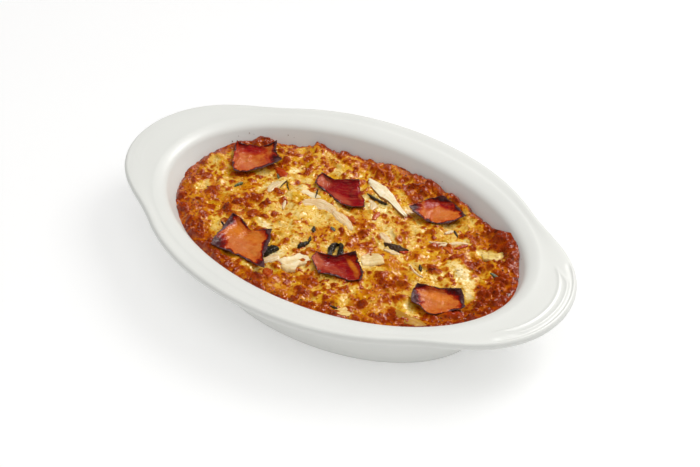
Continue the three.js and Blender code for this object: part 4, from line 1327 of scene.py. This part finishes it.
def bitFinish(kind):
    look = bits[kind]
    finish, tree, shader = newFinish(kind + "Bit")
    place = objectPlace(tree)
    flow = streaks(tree, *look["streak"])
    spots = grain(tree, place, look["spot"], 3)
    fair, dull = (colourRamp(tree, flow, zip((0.3, 0.5, 0.7), look[tone])) for tone in ("fair", "dull"))
    colour = blendColours(tree, field(tree, "tone"), fair, dull)
    stain = span(tree, spots, 0.56, 0.70, 0.0, look["stainShare"])
    colour = blendColours(tree, stain, colour, look["stain"])
    ragged = span(tree, spots, *noiseSpan, -0.2, 0.2)
    edge = span(tree, math2(tree, "ADD", field(tree, "side"), ragged), 0.70, 1.05, 0.0, 0.65)
    colour = blendColours(tree, edge, colour, look["edge"])
    skin = span(tree, math2(tree, "ADD", field(tree, "skin"), ragged), 0.35, 0.65)
    colour = blendColours(tree, skin, colour, look["skinColour"])
    paint(tree, shader, colour, span(tree, spots, *noiseSpan, *look["gloss"]))
    letLightIn(shader, look["glow"], (1.0, 0.6, 0.3), 1.0)
    addBump(tree, shader, math2(tree, "ADD", flow, math2(tree, "MULTIPLY", spots, 0.6)), look["bump"], 0.6)
    return finish


def buildBits():
    total = 0
    for kind in bitKinds:
        finish = bitFinish(kind)
        slot = bits[kind].get("slot", kind)
        pieces, small = bits[kind]["pieces"], shredBits(kind)
        for number, bit in enumerate(pieces, 1):
            piece = slabPiece(f"{kind}Bit{number}", [bitSlab(bit)], finish)
            settle(piece, slot, f"{kind}_{number}")
        if small:
            piece = slabPiece(f"{kind}Shreds", [bitSlab(bit) for bit in small], finish)
            settle(piece, slot)
        total += len(pieces) + len(small)
    print("bits:", total)


# burnt crumbs on the crust and on the wall above it
crumbs = {
    "count": 150, "size": (0.35, 0.95), "seed": 71, "shapeSeed": 72,
    # how far out they lie, squared, and how toasted the crust must be for one to stay
    "reach": (0.05, 0.93), "toasted": (0.2, 0.9),
    # x, y, height above the table, size
    "onWall": [
        [-101, 27, 36.6, 0.5], [-99, 31, 38.6, 0.35], [-94, 36, 39.4, 0.5], [-93, 38, 38.6, 0.3],
        [-76, 50, 37.8, 0.45], [-73.6, 52, 36.6, 0.3], [24, 70, 36.8, 0.3], [99, 33, 39.6, 0.3],
    ],
    "dark": (70, 24, 16), "light": (134, 58, 22),
}


def crumbMesh(name, lumpsAt, finish, seed):
    # small uneven lumps joined into one mesh
    rng = np.random.default_rng(seed)
    mould = bmesh.new()
    bmesh.ops.create_icosphere(mould, subdivisions=2, radius=1)
    shape = np.array([corner.co for corner in mould.verts])
    sides = np.array([[corner.index for corner in face.verts] for face in mould.faces])
    mould.free()
    corners, faces = [], []
    for x, y, z, length, width, tall, heading in lumpsAt:
        waves = np.sin(shape @ rng.uniform(-3, 3, (3, 3)) + rng.uniform(0, 6, 3))
        lump = shape * (1 + 0.15 * waves.sum(1, keepdims=True)) * [length / 2, width / 2, tall / 2]
        c, s = math.cos(math.radians(heading)), math.sin(math.radians(heading))
        turned = np.stack([lump[:, 0] * c - lump[:, 1] * s, lump[:, 0] * s + lump[:, 1] * c, lump[:, 2]], -1)
        faces.append(sides + len(shape) * len(corners))
        corners.append(turned + [x, y, z])
    return makePiece(name, np.concatenate(corners), np.concatenate(faces), [finish])


def crumbFinish():
    finish, tree, shader = newFinish("burntCrumb")
    fine = grain(tree, objectPlace(tree), 0.8, 4)
    tint = colourRamp(tree, fine, zip(noiseSpan, (crumbs["dark"], crumbs["light"])))
    paint(tree, shader, tint, span(tree, fine, *noiseSpan, 0.35, 0.5))
    addBump(tree, shader, fine, 0.15, 0.6)
    return finish


def buildCrumbs(crustMap):
    rng = np.random.default_rng(crumbs["seed"])
    places = []
    while len(places) < crumbs["count"]:
        turn = rng.uniform(0, math.tau)
        reach = math.sqrt(rng.uniform(*crumbs["reach"])) * innerWall(np.array(turn), 33.0)
        x, y = reach * math.cos(turn), reach * math.sin(turn)
        spot = np.array([x]), np.array([y])
        if crustMap.sample("zone", *spot)[0] < rng.uniform(*crumbs["toasted"]):
            continue
        size = rng.uniform(*crumbs["size"])
        z = crustMap.sample("height", *spot)[0]
        places.append((x, y, z + 0.1 * size, size * 1.3, size, size * 0.8, rng.uniform(0, 180)))
    for x, y, z, size in crumbs["onWall"]:
        turn = math.atan2(y, x)
        reach = innerWall(np.array(turn), z) - 0.15
        places.append((reach * math.cos(turn), reach * math.sin(turn), z, size * 1.5, size, size,
                       math.degrees(turn)))
    piece = crumbMesh("burntCrumbs", places, crumbFinish(), crumbs["shapeSeed"])
    settle(piece, "cheese")
    print("crumbs:", len(places))


# the lit table it stands on
floor = {"size": 6000, "colour": (246, 246, 246), "roughness": 0.6, "shine": 0.2, "glow": 0.23}


def shadeTable(table):
    # the soft box leaves the table alone, so that the shadow stays close to the dish
    apart = bpy.data.collections.new("besideTheBox")
    apart.objects.link(table)
    apart.collection_objects[0].light_linking.link_state = "EXCLUDE"
    bpy.data.objects["softBox"].light_linking.receiver_collection = apart


def buildFloor():
    finish, tree, shader = newFinish("paleTable")
    cloud = grain(tree, objectPlace(tree), 400, 2)
    paint(tree, shader, twoTones(tree, cloud, floor["colour"], 1), floor["roughness"])
    shader.inputs["Specular IOR Level"].default_value = floor["shine"]
    shader.inputs["Emission Color"].default_value = (1, 1, 1, 1)
    shader.inputs["Emission Strength"].default_value = floor["glow"]
    half = floor["size"] / 2
    piece = makePiece("table", [[-half, -half, 0], [half, -half, 0], [half, half, 0], [-half, half, 0]],
                      [(0, 1, 2, 3)], [finish])
    shadeTable(piece)
    print("table:", floor["size"], "mm wide")


aimCamera()
hangLights()
buildFloor()
buildDish()
crustMap = bakeCrust([hamCeiling, bitCeiling])
buildBake(crustMap)
buildHam()
buildBits()
buildCrumbs(crustMap)
